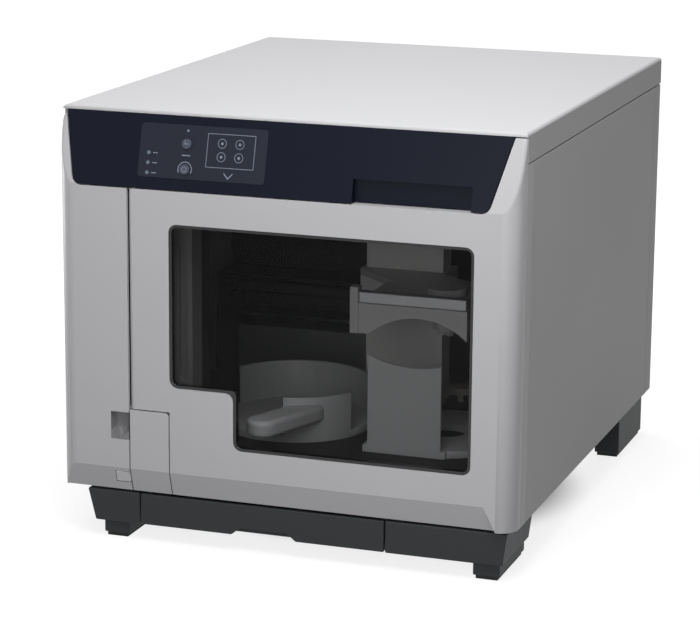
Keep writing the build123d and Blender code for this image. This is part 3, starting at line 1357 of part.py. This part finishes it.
# Electrics
SUPPLY_LEFT = CASE_LEFT + 8.0
SUPPLY_RIGHT = SUPPLY_LEFT + 140.0
SUPPLY_REAR = REAR - 32.5
SUPPLY_FRONT = SUPPLY_REAR - 90.0
SUPPLY_TOP = 100.0
BOARD_RIGHT = INNER_RIGHT - 9.5
BOARD_LEFT = BOARD_RIGHT - 96.0
BOARD_REAR = REAR - 6.5
BOARD_FRONT = BOARD_REAR - 126.0
STANDOFF_RADIUS = 3.0
STANDOFF_INSET = 8.0
CHIP_SIZE = 28.0
CHIP_HEIGHT = 4.0
SOCKET_FRONT = REAR - 18.5
SOCKET_PROUD = 0.5
SOCKET_WALL = 2.0
SOCKET_HOLLOW = 12.0
FAN_HUB = 12.0
FAN_BLADES = 7
FAN_AXLE = 2.0
BLADE_TILT = 35.0
STRUT = 2.5

with BuildPart() as power_supply:
    block(SUPPLY_LEFT, SUPPLY_RIGHT, SUPPLY_FRONT, SUPPLY_REAR, PAN_TOP, SUPPLY_TOP)
    fillet(power_supply.edges().group_by(Axis.Z)[-1], radius=SKIN / 2)
save(power_supply, "power_supply")

with BuildPart() as power_inlet:
    half_x = INLET_WIDTH / 2 - SIDE_GAP
    half_z = INLET_HEIGHT / 2 - SIDE_GAP
    inlet_rear = REAR_SKIN_OUT + SOCKET_PROUD
    block(
        INLET_X - half_x, INLET_X + half_x, SUPPLY_REAR, inlet_rear, INLET_Z - half_z, INLET_Z + half_z
    )
    block(
        INLET_X - half_x + SOCKET_WALL,
        INLET_X + half_x - SOCKET_WALL,
        inlet_rear - SOCKET_HOLLOW,
        inlet_rear,
        INLET_Z - half_z + SOCKET_WALL,
        INLET_Z + half_z - SOCKET_WALL,
        Mode.SUBTRACT,
    )
save(power_inlet, "power_inlet")

with BuildPart() as main_board:
    block(BOARD_LEFT, BOARD_RIGHT, BOARD_FRONT, BOARD_REAR, BOARD_Z, USB_Z0)
    for corner_x in (BOARD_LEFT + STANDOFF_INSET, BOARD_RIGHT - STANDOFF_INSET):
        for corner_y in (BOARD_FRONT + STANDOFF_INSET, BOARD_REAR - STANDOFF_INSET):
            post(corner_x, corner_y, PAN_TOP, BOARD_Z, STANDOFF_RADIUS)
    chip_x = (BOARD_LEFT + BOARD_RIGHT) / 2
    chip_y = (BOARD_FRONT + BOARD_REAR) / 2
    half = CHIP_SIZE / 2
    block(chip_x - half, chip_x + half, chip_y - half, chip_y + half, USB_Z0, USB_Z0 + CHIP_HEIGHT)
save(main_board, "main_board")

with BuildPart() as usb_socket:
    half = USB_WIDTH / 2 - SIDE_GAP
    usb_rear = REAR_SKIN_OUT + SOCKET_PROUD
    usb_top = USB_Z0 + USB_HEIGHT - SIDE_GAP
    block(USB_X - half, USB_X + half, SOCKET_FRONT, usb_rear, USB_Z0, usb_top)
    block(
        USB_X - half + SOCKET_WALL,
        USB_X + half - SOCKET_WALL,
        usb_rear - SOCKET_HOLLOW,
        usb_rear,
        USB_Z0 + SOCKET_WALL,
        usb_top - SOCKET_WALL,
        Mode.SUBTRACT,
    )
save(usb_socket, "usb_socket")

fan_front = REAR_SKIN_IN - FAN_DEPTH
with BuildPart() as fan_frame:
    half = FAN_SIZE / 2
    block(FAN_X - half, FAN_X + half, fan_front, REAR_SKIN_IN, FAN_Z - half, FAN_Z + half)
    bar_y(FAN_X, fan_front, REAR_SKIN_IN, FAN_Z, FAN_BORE, Mode.SUBTRACT)
    block(
        FAN_X - FAN_BORE - SEAM, FAN_X + FAN_BORE + SEAM, REAR_SKIN_IN - STRUT, REAR_SKIN_IN, FAN_Z - STRUT,
        FAN_Z + STRUT
    )
    bar_y(FAN_X, REAR_SKIN_IN - STRUT, REAR_SKIN_IN, FAN_Z, FAN_HUB)
    bar_y(FAN_X, fan_front + 2 * STRUT, REAR_SKIN_IN - STRUT, FAN_Z, FAN_AXLE)
save(fan_frame, "fan_frame")

with BuildPart() as fan_rotor:
    rotor_front = fan_front + SEAM
    rotor_rear = REAR_SKIN_IN - STRUT - SEAM
    bar_y(FAN_X, rotor_front, rotor_rear, FAN_Z, FAN_HUB)
    blade_reach = FAN_BORE - SEAM
    for index in range(FAN_BLADES):
        turn = (0, 360 * index / FAN_BLADES, 0)
        with Locations(Location((FAN_X, (rotor_front + rotor_rear) / 2, FAN_Z), turn)):
            with Locations(Location(((FAN_HUB + blade_reach) / 2 - SEAM, 0, 0), (BLADE_TILT, 0, 0))):
                Box(blade_reach - FAN_HUB, rotor_rear - rotor_front - 2 * SEAM, SEAM)
    bar_y(FAN_X, rotor_front + SEAM, rotor_rear, FAN_Z, FAN_AXLE + RUNNING_FIT, Mode.SUBTRACT)
save(fan_rotor, "fan_rotor")
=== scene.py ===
"""Looks of the disc label printer: finishes, printed marks, small fittings, light and camera."""
import json
import math

import bmesh
import bpy
from mathutils import Matrix, Vector

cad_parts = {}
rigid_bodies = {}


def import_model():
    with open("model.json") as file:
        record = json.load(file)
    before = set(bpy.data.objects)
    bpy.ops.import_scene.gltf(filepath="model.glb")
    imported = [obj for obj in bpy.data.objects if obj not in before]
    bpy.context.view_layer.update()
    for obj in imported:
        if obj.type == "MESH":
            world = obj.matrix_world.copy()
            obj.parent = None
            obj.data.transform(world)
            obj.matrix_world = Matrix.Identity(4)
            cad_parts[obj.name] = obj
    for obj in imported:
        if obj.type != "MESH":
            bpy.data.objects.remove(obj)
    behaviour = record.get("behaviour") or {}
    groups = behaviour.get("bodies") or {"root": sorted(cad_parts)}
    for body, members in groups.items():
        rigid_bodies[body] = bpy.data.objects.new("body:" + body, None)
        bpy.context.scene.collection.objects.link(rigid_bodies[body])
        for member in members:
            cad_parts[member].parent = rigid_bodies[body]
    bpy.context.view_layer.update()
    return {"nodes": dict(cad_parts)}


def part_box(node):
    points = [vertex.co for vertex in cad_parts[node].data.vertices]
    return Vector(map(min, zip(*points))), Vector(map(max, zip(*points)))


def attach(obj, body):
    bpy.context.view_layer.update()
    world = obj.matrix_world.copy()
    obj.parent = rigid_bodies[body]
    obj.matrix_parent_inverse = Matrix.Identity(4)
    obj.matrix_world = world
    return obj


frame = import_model()
nodes = frame["nodes"]

MM = 0.001

# The photograph's camera
PHOTO_WIDTH_PX = 700
FOCAL_PX = 2633.48
SENSOR_MM = 36.0
CAMERA_YAW = math.radians(19.03)
CAMERA_PITCH = math.radians(13.28)
CAMERA_ROLL = math.radians(0.47)
CAMERA_TARGET = Vector((-0.02422, 0.0, 0.14655))
CAMERA_DISTANCE = 2.25541

# Finishes
BLACK_SHADE = (16, 16, 17)
PANE_SHADE = (10, 10, 11)
PANE_ALPHA = 0.22
DRIFT_SCALE = 9.0
DRIFT_DETAIL = 3.0
GRAIN_DETAIL = 2.0
GLOSS_SPREAD = 0.05
GLOSS_LEAST = 0.02
RELIEF_DEPTH = 0.4 * MM


def linear(shade):
    """An sRGB shade, from 0 to 255, as linear values."""
    return [(c / 255 / 12.92) if c < 11 else ((c / 255 + 0.055) / 1.055) ** 2.4 for c in shade]


def material(name, shade, roughness=0.45, metallic=0.0, grain=1400.0, bump=0.03, vary=0.035, **sockets):
    """A procedural finish: slow shade drift, fine moulded grain and uneven gloss."""
    made = bpy.data.materials.new(name)
    made.use_nodes = True
    tree = made.node_tree
    shader = tree.nodes["Principled BSDF"]
    shader.inputs["Metallic"].default_value = metallic
    for socket, value in sockets.items():
        shader.inputs[socket.replace("_", " ")].default_value = value
    place = tree.nodes.new("ShaderNodeTexCoord")
    drift = tree.nodes.new("ShaderNodeTexNoise")
    drift.inputs["Scale"].default_value = DRIFT_SCALE
    drift.inputs["Detail"].default_value = DRIFT_DETAIL
    texture = tree.nodes.new("ShaderNodeTexNoise")
    texture.inputs["Scale"].default_value = grain
    texture.inputs["Detail"].default_value = GRAIN_DETAIL
    ramp = tree.nodes.new("ShaderNodeMix")
    ramp.data_type = "RGBA"
    colour = linear(shade)
    ramp.inputs["A"].default_value = [c * (1 - vary) for c in colour] + [1]
    ramp.inputs["B"].default_value = [c * (1 + vary) for c in colour] + [1]
    gloss = tree.nodes.new("ShaderNodeMapRange")
    gloss.inputs["To Min"].default_value = max(GLOSS_LEAST, roughness - GLOSS_SPREAD)
    gloss.inputs["To Max"].default_value = min(1.0, roughness + GLOSS_SPREAD)
    relief = tree.nodes.new("ShaderNodeBump")
    relief.inputs["Strength"].default_value = bump
    relief.inputs["Distance"].default_value = RELIEF_DEPTH
    for source, target in (
        (place.outputs["Object"], drift.inputs["Vector"]),
        (place.outputs["Object"], texture.inputs["Vector"]),
        (drift.outputs["Fac"], ramp.inputs["Factor"]),
        (drift.outputs["Fac"], gloss.inputs["Value"]),
        (texture.outputs["Fac"], relief.inputs["Height"]),
        (ramp.outputs["Result"], shader.inputs["Base Color"]),
        (gloss.outputs["Result"], shader.inputs["Roughness"]),
        (relief.outputs["Normal"], shader.inputs["Normal"]),
    ):
        tree.links.new(source, target)
    return made


FINISHES = {
    "shell": material("silver_shell", (190, 190, 193), 0.42, grain=2200, bump=0.05, Specular_IOR_Level=0.35),
    "panel": material("panel_paint", (186, 186, 188), 0.55, grain=1500, bump=0.10, Specular_IOR_Level=0.25),
    "strip": material("strip_paint", (190, 190, 191), 0.50, grain=1800, bump=0.06, Specular_IOR_Level=0.25),
    "navy": material("navy_gloss", (13, 17, 31), 0.34, bump=0.01, vary=0.06, Specular_IOR_Level=0.12),
    "film": material("navy_film", (27, 31, 43), 0.45, grain=2600, bump=0.04, vary=0.08, Specular_IOR_Level=0.2),
    "base": material("base_moulding", (42, 45, 47), 0.60, grain=900, bump=0.14, Specular_IOR_Level=0.3),
    "dark": material("dark_moulding", (30, 30, 32), 0.62, grain=900, bump=0.12, Specular_IOR_Level=0.3),
    "black": material("black_moulding", BLACK_SHADE, 0.50, grain=1200, bump=0.08),
    "trim": material("black_trim", BLACK_SHADE, 0.22, bump=0.01),
    "pale": material("pale_moulding", (236, 236, 234), 0.50, grain=1500, bump=0.06),
    # The bay post's grey is the pale moulding darkened: painted shade for a post that sits dim in the chamber.
    "post": material("pale_post_painted_shade", (98, 98, 97), 0.50, grain=1500, bump=0.06),
    "arm": material("arm_moulding", (205, 205, 204), 0.46, grain=1500, bump=0.06),
    "bin": material("bin_moulding", (188, 189, 191), 0.44, grain=1500, bump=0.05),
    # The scoop's darker grey paints the shade in the ink cover's finger recess.
    "scoop": material("scoop_painted_shade", (128, 128, 131), 0.42, grain=2200, bump=0.05, Specular_IOR_Level=0.35),
    "tab": material("tab_moulding", (205, 205, 207), 0.38, grain=1800, bump=0.04),
    "steel": material("plated_steel", (176, 177, 180), 0.34, metallic=0.85, grain=700, bump=0.05),
    "bright": material("bright_bar", (168, 169, 172), 0.36, metallic=0.6, grain=700, bump=0.03),
    "rubber": material("pad_rubber", (24, 24, 24), 0.82, grain=600, bump=0.2),
    "nylon": material("gear_nylon", (212, 209, 199), 0.52, grain=1200, bump=0.05),
    "board": material("board_laminate", (34, 86, 54), 0.4, grain=1000, bump=0.06),
    "button": material("button_cap", (58, 63, 80), 0.36, grain=2200, bump=0.03),
    "lamp": material("lamp_lens", (86, 99, 116), 0.18, bump=0.01, Coat_Weight=0.6),
    "mark": material("printed_mark", (122, 128, 144), 0.5, grain=2600, bump=0.01),
    "pane": material("smoked_pane", PANE_SHADE, 0.08, bump=0.0, vary=0.02, Alpha=PANE_ALPHA,
                     Specular_IOR_Level=0.2),
}

# Which CAD nodes wear each finish
WEARS = {
    "shell": "door_shell ink_cover hinge_cover",
    "panel": "left_side_panel right_side_panel rear_panel top_cover",
    "strip": "front_frame",
    "navy": "control_fascia",
    "film": "control_film",
    "base": "base_skirts front_feet rear_feet drawer_front disc_drawer",
    "dark": "floor_deck ink_bay printer_case tray_guides printer_tray print_carriage",
    "black": "swing_motor power_inlet usb_socket fan_frame fan_rotor ink_cartridges",
    "trim": "window_bezel",
    "pale": "turret_column",
    "post": "bay_post",
    "arm": "arm_beam gripper_hub gripper_claw_1 gripper_claw_2 gripper_claw_3",
    "bin": "stacker_1 stacker_2 stacker_grip",
    "tab": "release_tab",
    "steel": "base_pan top_bridge guide_rods lead_screw carriage_rail hinge_pins rear_screws drawer_rails"
    " door_catch power_supply",
    "bright": "arm_top_bar",
    "rubber": "foot_pads tray_roller",
    "nylon": "turret_gear swing_pinion turret_base",
    "board": "main_board",
    "button": "power_button cancel_button",
    "lamp": "status_lamps",
    "pane": "window_pane",
}

# Rounded edges, in millimetres, on the pieces whose edges catch the light
EDGES = {
    "door_shell": 2.0, "ink_cover": 2.0, "hinge_cover": 0.9, "control_fascia": 0.8, "top_cover": 0.7,
    "left_side_panel": 0.6, "right_side_panel": 0.6, "rear_panel": 0.6, "front_frame": 0.5,
    "base_skirts": 1.2, "front_feet": 1.2, "rear_feet": 1.2, "drawer_front": 1.0, "disc_drawer": 0.5,
    "turret_column": 1.2, "arm_beam": 0.6, "arm_top_bar": 1.6, "stacker_1": 0.5, "stacker_2": 0.5,
    "bay_post": 2.2, "window_bezel": 0.5, "release_tab": 0.8, "power_button": 0.5, "cancel_button": 0.5,
    "ink_cartridges": 1.2, "ink_bay": 0.4, "floor_deck": 0.5, "printer_case": 0.8, "print_carriage": 1.2,
    "printer_tray": 0.6, "gripper_hub": 0.5, "power_inlet": 0.4, "fan_frame": 0.5,
}
WELD_WITHIN = 1e-6
FLAT_WITHIN = math.radians(0.5)
SHARP_FROM = math.radians(28)
EDGE_SEGMENTS = 3


def rounded(piece, width):
    """Merge the split vertices, clear flat faces of their triangles and round the sharp edges."""
    weld = piece.modifiers.new("weld", "WELD")
    weld.merge_threshold = WELD_WITHIN
    flat = piece.modifiers.new("flat", "DECIMATE")
    flat.decimate_type = "DISSOLVE"
    flat.angle_limit = FLAT_WITHIN
    soft = piece.modifiers.new("soft", "BEVEL")
    soft.width = width * MM
    soft.segments = EDGE_SEGMENTS
    soft.limit_method = "ANGLE"
    soft.angle_limit = SHARP_FROM
    soft.harden_normals = True


for finish, names in WEARS.items():
    for name in names.split():
        piece = nodes[name]
        piece.data.materials.clear()
        piece.data.materials.append(FINISHES[finish])
        if name in EDGES:
            rounded(piece, EDGES[name])

# The tilted control face. The tilt and the film's thickness repeat the CAD's own.
FASCIA_LOW, FASCIA_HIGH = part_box("control_fascia")
TILT_BACK = 0.0155
SLOPE = TILT_BACK / (FASCIA_HIGH.z - FASCIA_LOW.z)
OUTWARD = Vector((0, -1, SLOPE)).normalized()
FILM_LIFT = 0.0004
CAP_LIFT = 0.0018
MARK_THICK = 0.00012


def on_face(x, z, lift):
    """A point on the tilted face, x and z in millimetres, lifted outwards in metres."""
    height = z * MM
    base = Vector((x * MM, FASCIA_LOW.y + (height - FASCIA_LOW.z) * SLOPE, height))
    return base + OUTWARD * lift


def new_piece(name, mesh, body, finish):
    """A finished bmesh as a named piece that rides on a body."""
    data = bpy.data.meshes.new(name)
    bmesh.ops.recalc_face_normals(mesh, faces=mesh.faces)
    mesh.to_mesh(data)
    mesh.free()
    piece = bpy.data.objects.new(name, data)
    bpy.context.scene.collection.objects.link(piece)
    data.materials.append(FINISHES[finish])
    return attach(piece, body)


def mark(mesh, outline, lift):
    """A printed shape on the face, from its outline in millimetres."""
    low = [mesh.verts.new(on_face(x, z, lift)) for x, z in outline]
    high = [mesh.verts.new(on_face(x, z, lift + MARK_THICK)) for x, z in outline]
    mesh.faces.new(high)
    mesh.faces.new(low[::-1])
    for index in range(len(outline)):
        after = (index + 1) % len(outline)
        mesh.faces.new((low[index], low[after], high[after], high[index]))


def bar(mesh, x, z, width, height, lift):
    """A printed rectangle about its middle."""
    mark(mesh, [(x - width / 2, z - height / 2), (x + width / 2, z - height / 2),
                (x + width / 2, z + height / 2), (x - width / 2, z + height / 2)], lift)


def arc(mesh, x, z, radius, line, start, sweep, lift, steps=20):
    """Part of a ring, its angles in degrees."""
    for index in range(steps):
        a, b = (math.radians(start + sweep * (index + k) / steps) for k in (0, 1))
        inner, outer = radius - line / 2, radius + line / 2
        mark(mesh, [(x + r * math.cos(t), z + r * math.sin(t)) for r, t in
                    ((inner, a), (outer, a), (outer, b), (inner, b))], lift)


def dot(mesh, x, z, radius, lift, sides=16):
    """A printed disc."""
    turns = [2 * math.pi * k / sides for k in range(sides)]
    mark(mesh, [(x + radius * math.cos(turn), z + radius * math.sin(turn)) for turn in turns], lift)


# Generic marks on the film and on the two buttons, in millimetres across and up
BUTTON_X = -81.0
POWER_Z = 305.0
CANCEL_Z = 324.0
TOP_DOT = (BUTTON_X, 334.0, 0.9)
BUTTON_BAR = (BUTTON_X, 315.5, 7.0, 0.8)
POWER_RING = (BUTTON_X, POWER_Z, 5.6, 0.7, -30, 240)
LAMP_BAR_X = -106.5
LAMP_BAR_ROWS = (301.0, 308.5, 316.0)
LAMP_BAR = (4.0, 0.7)
LINE = 0.45
FRAME_LEFT, FRAME_RIGHT = -64.0, -25.0
FRAME_LOW, FRAME_HIGH = 308.0, 333.0
DISC_PLACES = ((-52.0, 326.0), (-37.5, 326.0), (-52.0, 316.0), (-37.5, 316.0))
DISC_RADIUS = 3.4
DISC_HOLE = 1.1
ARROW_X = -45.0
ARROW_REACH = 3.6
ARROW_ROWS = (299.6, 303.4, 304.6, 300.8)

film_marks = bmesh.new()
dot(film_marks, *TOP_DOT, FILM_LIFT)
bar(film_marks, *BUTTON_BAR, FILM_LIFT)
arc(film_marks, *POWER_RING, FILM_LIFT)
for row in LAMP_BAR_ROWS:
    bar(film_marks, LAMP_BAR_X, row, *LAMP_BAR, FILM_LIFT)
for z in (FRAME_LOW, FRAME_HIGH):
    bar(film_marks, (FRAME_LEFT + FRAME_RIGHT) / 2, z, FRAME_RIGHT - FRAME_LEFT, LINE, FILM_LIFT)
for x in (FRAME_LEFT, FRAME_RIGHT):
    bar(film_marks, x, (FRAME_LOW + FRAME_HIGH) / 2, LINE, FRAME_HIGH - FRAME_LOW, FILM_LIFT)
for x, z in DISC_PLACES:
    arc(film_marks, x, z, DISC_RADIUS, LINE, 0, 360, FILM_LIFT)
    dot(film_marks, x, z, DISC_HOLE, FILM_LIFT)
for side in (-1, 1):
    reach = ARROW_X + side * ARROW_REACH
    mark(film_marks, list(zip((ARROW_X, reach, reach, ARROW_X), ARROW_ROWS)), FILM_LIFT)
new_piece("film_marks", film_marks, "cabinet", "mark")

power_mark = bmesh.new()
arc(power_mark, BUTTON_X, POWER_Z, 1.9, 0.5, 120, 300, CAP_LIFT)
bar(power_mark, BUTTON_X, POWER_Z + 1.5, 0.5, 1.9, CAP_LIFT)
new_piece("power_mark", power_mark, "power_key", "mark")
cancel_mark = bmesh.new()
bar(cancel_mark, BUTTON_X, CANCEL_Z, 3.2, 0.7, CAP_LIFT)
bar(cancel_mark, BUTTON_X - 1.3, CANCEL_Z + 1.2, 0.6, 2.4, CAP_LIFT)
new_piece("cancel_mark", cancel_mark, "cancel_key", "mark")


def slab(mesh, low, high):
    """A box between two corners, in millimetres."""
    made = bmesh.ops.create_cube(mesh, size=1.0)["verts"]
    size = [(b - a) * MM for a, b in zip(low, high)]
    middle = [(a + b) / 2 * MM for a, b in zip(low, high)]
    bmesh.ops.scale(mesh, vec=size, verts=made)
    bmesh.ops.translate(mesh, vec=middle, verts=made)


# Colour labels on the cartridges, in millimetres. They stop short of the seam beside the door.
INKS = {
    "black": (28, 28, 30), "cyan": (24, 128, 176), "magenta": (176, 44, 104), "yellow": (222, 190, 44),
    "light_cyan": (122, 182, 206), "light_magenta": (208, 138, 168),
}
CARTRIDGE_HEIGHT = 30.0
LABEL_MARGIN = 6
LABEL_TOP = 24
LABEL_SHORT = 30.0
LABEL_THICK = 0.25
LABEL_CORNER = 2.5 * MM
ALONG_DEPTH = 0.9

ink_low, ink_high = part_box("ink_cartridges")
shelf_step = (ink_high.z - ink_low.z - CARTRIDGE_HEIGHT * MM) / (len(INKS) - 1) / MM
for index, (ink, shade) in enumerate(INKS.items()):
    FINISHES[ink] = material("label_" + ink, shade, 0.4, grain=2400, bump=0.02, vary=0.05)
    base = ink_low.z / MM + index * shelf_step
    label = bmesh.new()
    slab(label, (ink_low.x / MM + LABEL_MARGIN, ink_low.y / MM - LABEL_THICK, base + LABEL_MARGIN),
         (ink_high.x / MM - LABEL_SHORT, ink_low.y / MM, base + LABEL_TOP))
    corners = [edge for edge in label.edges
               if abs((edge.verts[0].co - edge.verts[1].co).normalized().y) > ALONG_DEPTH]
    bmesh.ops.bevel(label, geom=corners, offset=LABEL_CORNER, segments=4, affect="EDGES")
    new_piece("label_" + ink, label, "cabinet", ink)

# Pins in the power inlet, in millimetres
PIN_PLACES = ((-7.0, -2.0), (7.0, -2.0), (0.0, 2.5))
PIN_HALF_WIDTH = 1
PIN_HALF_HEIGHT = 2
PIN_ROOT = 12
PIN_TIP = 2.5
PIN_EDGE = 0.4 * MM

inlet_low, inlet_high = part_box("power_inlet")
inlet_x = (inlet_low.x + inlet_high.x) / 2 / MM
inlet_z = (inlet_low.z + inlet_high.z) / 2 / MM
inlet_rear = inlet_high.y / MM
pins = bmesh.new()
for pin_x, pin_z in PIN_PLACES:
    slab(pins, (inlet_x + pin_x - PIN_HALF_WIDTH, inlet_rear - PIN_ROOT, inlet_z + pin_z - PIN_HALF_HEIGHT),
         (inlet_x + pin_x + PIN_HALF_WIDTH, inlet_rear - PIN_TIP, inlet_z + pin_z + PIN_HALF_HEIGHT))
bmesh.ops.bevel(pins, geom=list(pins.edges), offset=PIN_EDGE, segments=2, affect="EDGES")
new_piece("inlet_pins", pins, "cabinet", "bright")

# The finger scoop in the ink cover's recess, in millimetres: round across and pointed at its foot. Its darker
# grey paints the recess's shade.
SCOOP_WIDE = 15.3
SCOOP_FOOT = 85.1
SCOOP_TOP = 107.4
SCOOP_POINT = 8.0
SCOOP_DEEP = 8.8
SCOOP_BACK = 9.4
SCOOP_CLEAR = 0.1
SCOOP_STEPS = 28


def strips(mesh, near, far):
    """Faces between two rows of vertices."""
    for k in range(len(near) - 1):
        mesh.faces.new((near[k], near[k + 1], far[k + 1], far[k]))


cover_low, cover_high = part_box("ink_cover")
scoop = bmesh.new()
front_rows, back_rows = [], []
for row in range(SCOOP_STEPS + 1):
    height = SCOOP_FOOT + (SCOOP_TOP - SCOOP_FOOT) * row / SCOOP_STEPS
    share = min(1.0, (height - SCOOP_FOOT) / SCOOP_POINT)
    front_row, back_row = [], []
    for column in range(SCOOP_STEPS + 1):
        across = 2 * column / SCOOP_STEPS - 1
        near_edge = min(1.0, abs(across) / share) if share > 0 else 1.0
        deep = SCOOP_DEEP * math.sqrt(max(0.0, 1 - near_edge ** 3)) * math.sqrt(share)
        x = cover_high.x / MM - SCOOP_CLEAR - SCOOP_WIDE * (1 - across) / 2
        front_row.append(scoop.verts.new((x * MM, cover_low.y + (SCOOP_CLEAR + deep) * MM, height * MM)))
        back_row.append(scoop.verts.new((x * MM, cover_low.y + SCOOP_BACK * MM, height * MM)))
    front_rows.append(front_row)
    back_rows.append(back_row)
for rows in (front_rows, back_rows):
    for lower, upper in zip(rows, rows[1:]):
        strips(scoop, lower, upper)
strips(scoop, front_rows[0], back_rows[0])
strips(scoop, front_rows[-1], back_rows[-1])
for end in (0, -1):
    strips(scoop, [row[end] for row in front_rows], [row[end] for row in back_rows])
new_piece("cover_scoop", scoop, "ink_door", "scoop")


# Floor, world and lamps
FLOOR_SIZE = 12.0
FLOOR_ALBEDO = 0.28
# How brightly the floor glows where it is seen, by distance in metres from its middle: nearly nought under the
# object and low close by it, which paints its shadow, then rising to an even white
FLOOR_GLOW_AND_PAINTED_SHADOW = ((0.13, 0.03), (0.19, 0.82), (0.85, 1.0))
WORLD_LEVEL = 0.10


def seen_rays(tree):
    """One for rays that see the stage itself, nought for those that carry its light to the object."""
    path = tree.nodes.new("ShaderNodeLightPath")
    total = path.outputs["Is Camera Ray"]
    for ray in ("Is Glossy Ray", "Is Transmission Ray"):
        join = tree.nodes.new("ShaderNodeMath")
        join.operation = "MAXIMUM"
        tree.links.new(total, join.inputs[0])
        tree.links.new(path.outputs[ray], join.inputs[1])
        total = join.outputs[0]
    return total


def stage_white(name, albedo, stops):
    """A floor that lights the object plainly; its seen glow drops to a painted shadow under and close by the
    object, and it is white from afar.
    """
    made = bpy.data.materials.new(name)
    made.use_nodes = True
    tree = made.node_tree
    tree.nodes.clear()
    matte = tree.nodes.new("ShaderNodeBsdfDiffuse")
    matte.inputs["Color"].default_value = (albedo, albedo, albedo, 1)
    place = tree.nodes.new("ShaderNodeTexCoord")
    away = tree.nodes.new("ShaderNodeVectorMath")
    away.operation = "LENGTH"
    glow_with_painted_shadow = tree.nodes.new("ShaderNodeValToRGB")
    glow_with_painted_shadow.color_ramp.interpolation = "EASE"
    while len(glow_with_painted_shadow.color_ramp.elements) < len(stops):
        glow_with_painted_shadow.color_ramp.elements.new(1.0)
    for element, (distance, glow) in zip(glow_with_painted_shadow.color_ramp.elements, stops):
        element.position = distance
        element.color = (glow, glow, glow, 1)
    light = tree.nodes.new("ShaderNodeEmission")
    both = tree.nodes.new("ShaderNodeAddShader")
    pick = tree.nodes.new("ShaderNodeMixShader")
    out = tree.nodes.new("ShaderNodeOutputMaterial")
    for source, target in (
        (place.outputs["Object"], away.inputs[0]),
        (away.outputs["Value"], glow_with_painted_shadow.inputs["Fac"]),
        (glow_with_painted_shadow.outputs["Color"], light.inputs["Strength"]),
        (matte.outputs[0], both.inputs[0]),
        (light.outputs[0], both.inputs[1]),
        (seen_rays(tree), pick.inputs["Fac"]),
        (matte.outputs[0], pick.inputs[1]),
        (both.outputs[0], pick.inputs[2]),
        (pick.outputs[0], out.inputs["Surface"]),
    ):
        tree.links.new(source, target)
    return made


bpy.ops.mesh.primitive_plane_add(size=FLOOR_SIZE, location=(0, 0, 0))
floor = bpy.context.object
floor.name = "stage_floor"
floor.data.materials.append(stage_white("stage_floor", FLOOR_ALBEDO, FLOOR_GLOW_AND_PAINTED_SHADOW))

world = bpy.data.worlds.new("studio")
bpy.context.scene.world = world
world.use_nodes = True
sky = world.node_tree.nodes["Background"]
sky.inputs["Color"].default_value = (1, 1, 1, 1)
level = world.node_tree.nodes.new("ShaderNodeMix")
level.inputs["A"].default_value = WORLD_LEVEL
level.inputs["B"].default_value = 1.0
world.node_tree.links.new(seen_rays(world.node_tree), level.inputs["Factor"])
world.node_tree.links.new(level.outputs["Result"], sky.inputs["Strength"])


def lamp(name, place, size, power, only=None):
    """A square soft lamp that faces the object. It lights everything, or only the pieces in one collection."""
    data = bpy.data.lights.new(name, "AREA")
    data.size = size
    data.energy = power
    made = bpy.data.objects.new(name, data)
    bpy.context.scene.collection.objects.link(made)
    made.location = place
    made.rotation_euler = (made.location - CAMERA_TARGET).to_track_quat("Z", "Y").to_euler()
    if only:
        made.light_linking.receiver_collection = only


# The lamps, in metres and watts. The low ones at the left and the rear light the object alone, and so throw
# no long shadow over the floor.
lit = bpy.data.collections.new("lit")
for piece in bpy.data.objects:
    if piece.type == "MESH" and piece is not floor:
        lit.objects.link(piece)
lamp("key", (0.22, -0.66, 1.02), 0.6, 7.2)
lamp("front", (0.17, -1.15, 0.42), 0.4, 2.9)
lamp("top", (-0.06, 0.32, 1.45), 0.8, 10.5)
lamp("left", (-1.30, 0.05, 0.16), 0.3, 5.0, lit)
lamp("rear", (-0.25, 1.35, 0.16), 0.3, 5.0, lit)

# Camera
back = Vector((
    math.sin(CAMERA_YAW) * math.cos(CAMERA_PITCH),
    -math.cos(CAMERA_YAW) * math.cos(CAMERA_PITCH),
    math.sin(CAMERA_PITCH),
))
level_right = Vector((0, 0, 1)).cross(back).normalized()
level_up = back.cross(level_right)
right_axis = level_right * math.cos(CAMERA_ROLL) + level_up * math.sin(CAMERA_ROLL)
up_axis = level_up * math.cos(CAMERA_ROLL) - level_right * math.sin(CAMERA_ROLL)
camera_data = bpy.data.cameras.new("camera")
camera_data.sensor_width = SENSOR_MM
camera_data.lens = FOCAL_PX / PHOTO_WIDTH_PX * SENSOR_MM
camera = bpy.data.objects.new("camera", camera_data)
bpy.context.scene.collection.objects.link(camera)
camera.matrix_world = Matrix.Translation(CAMERA_TARGET + back * CAMERA_DISTANCE) @ Matrix(
    (right_axis, up_axis, back)).transposed().to_4x4()
bpy.context.scene.camera = camera
bpy.context.scene.view_settings.view_transform = "Standard"
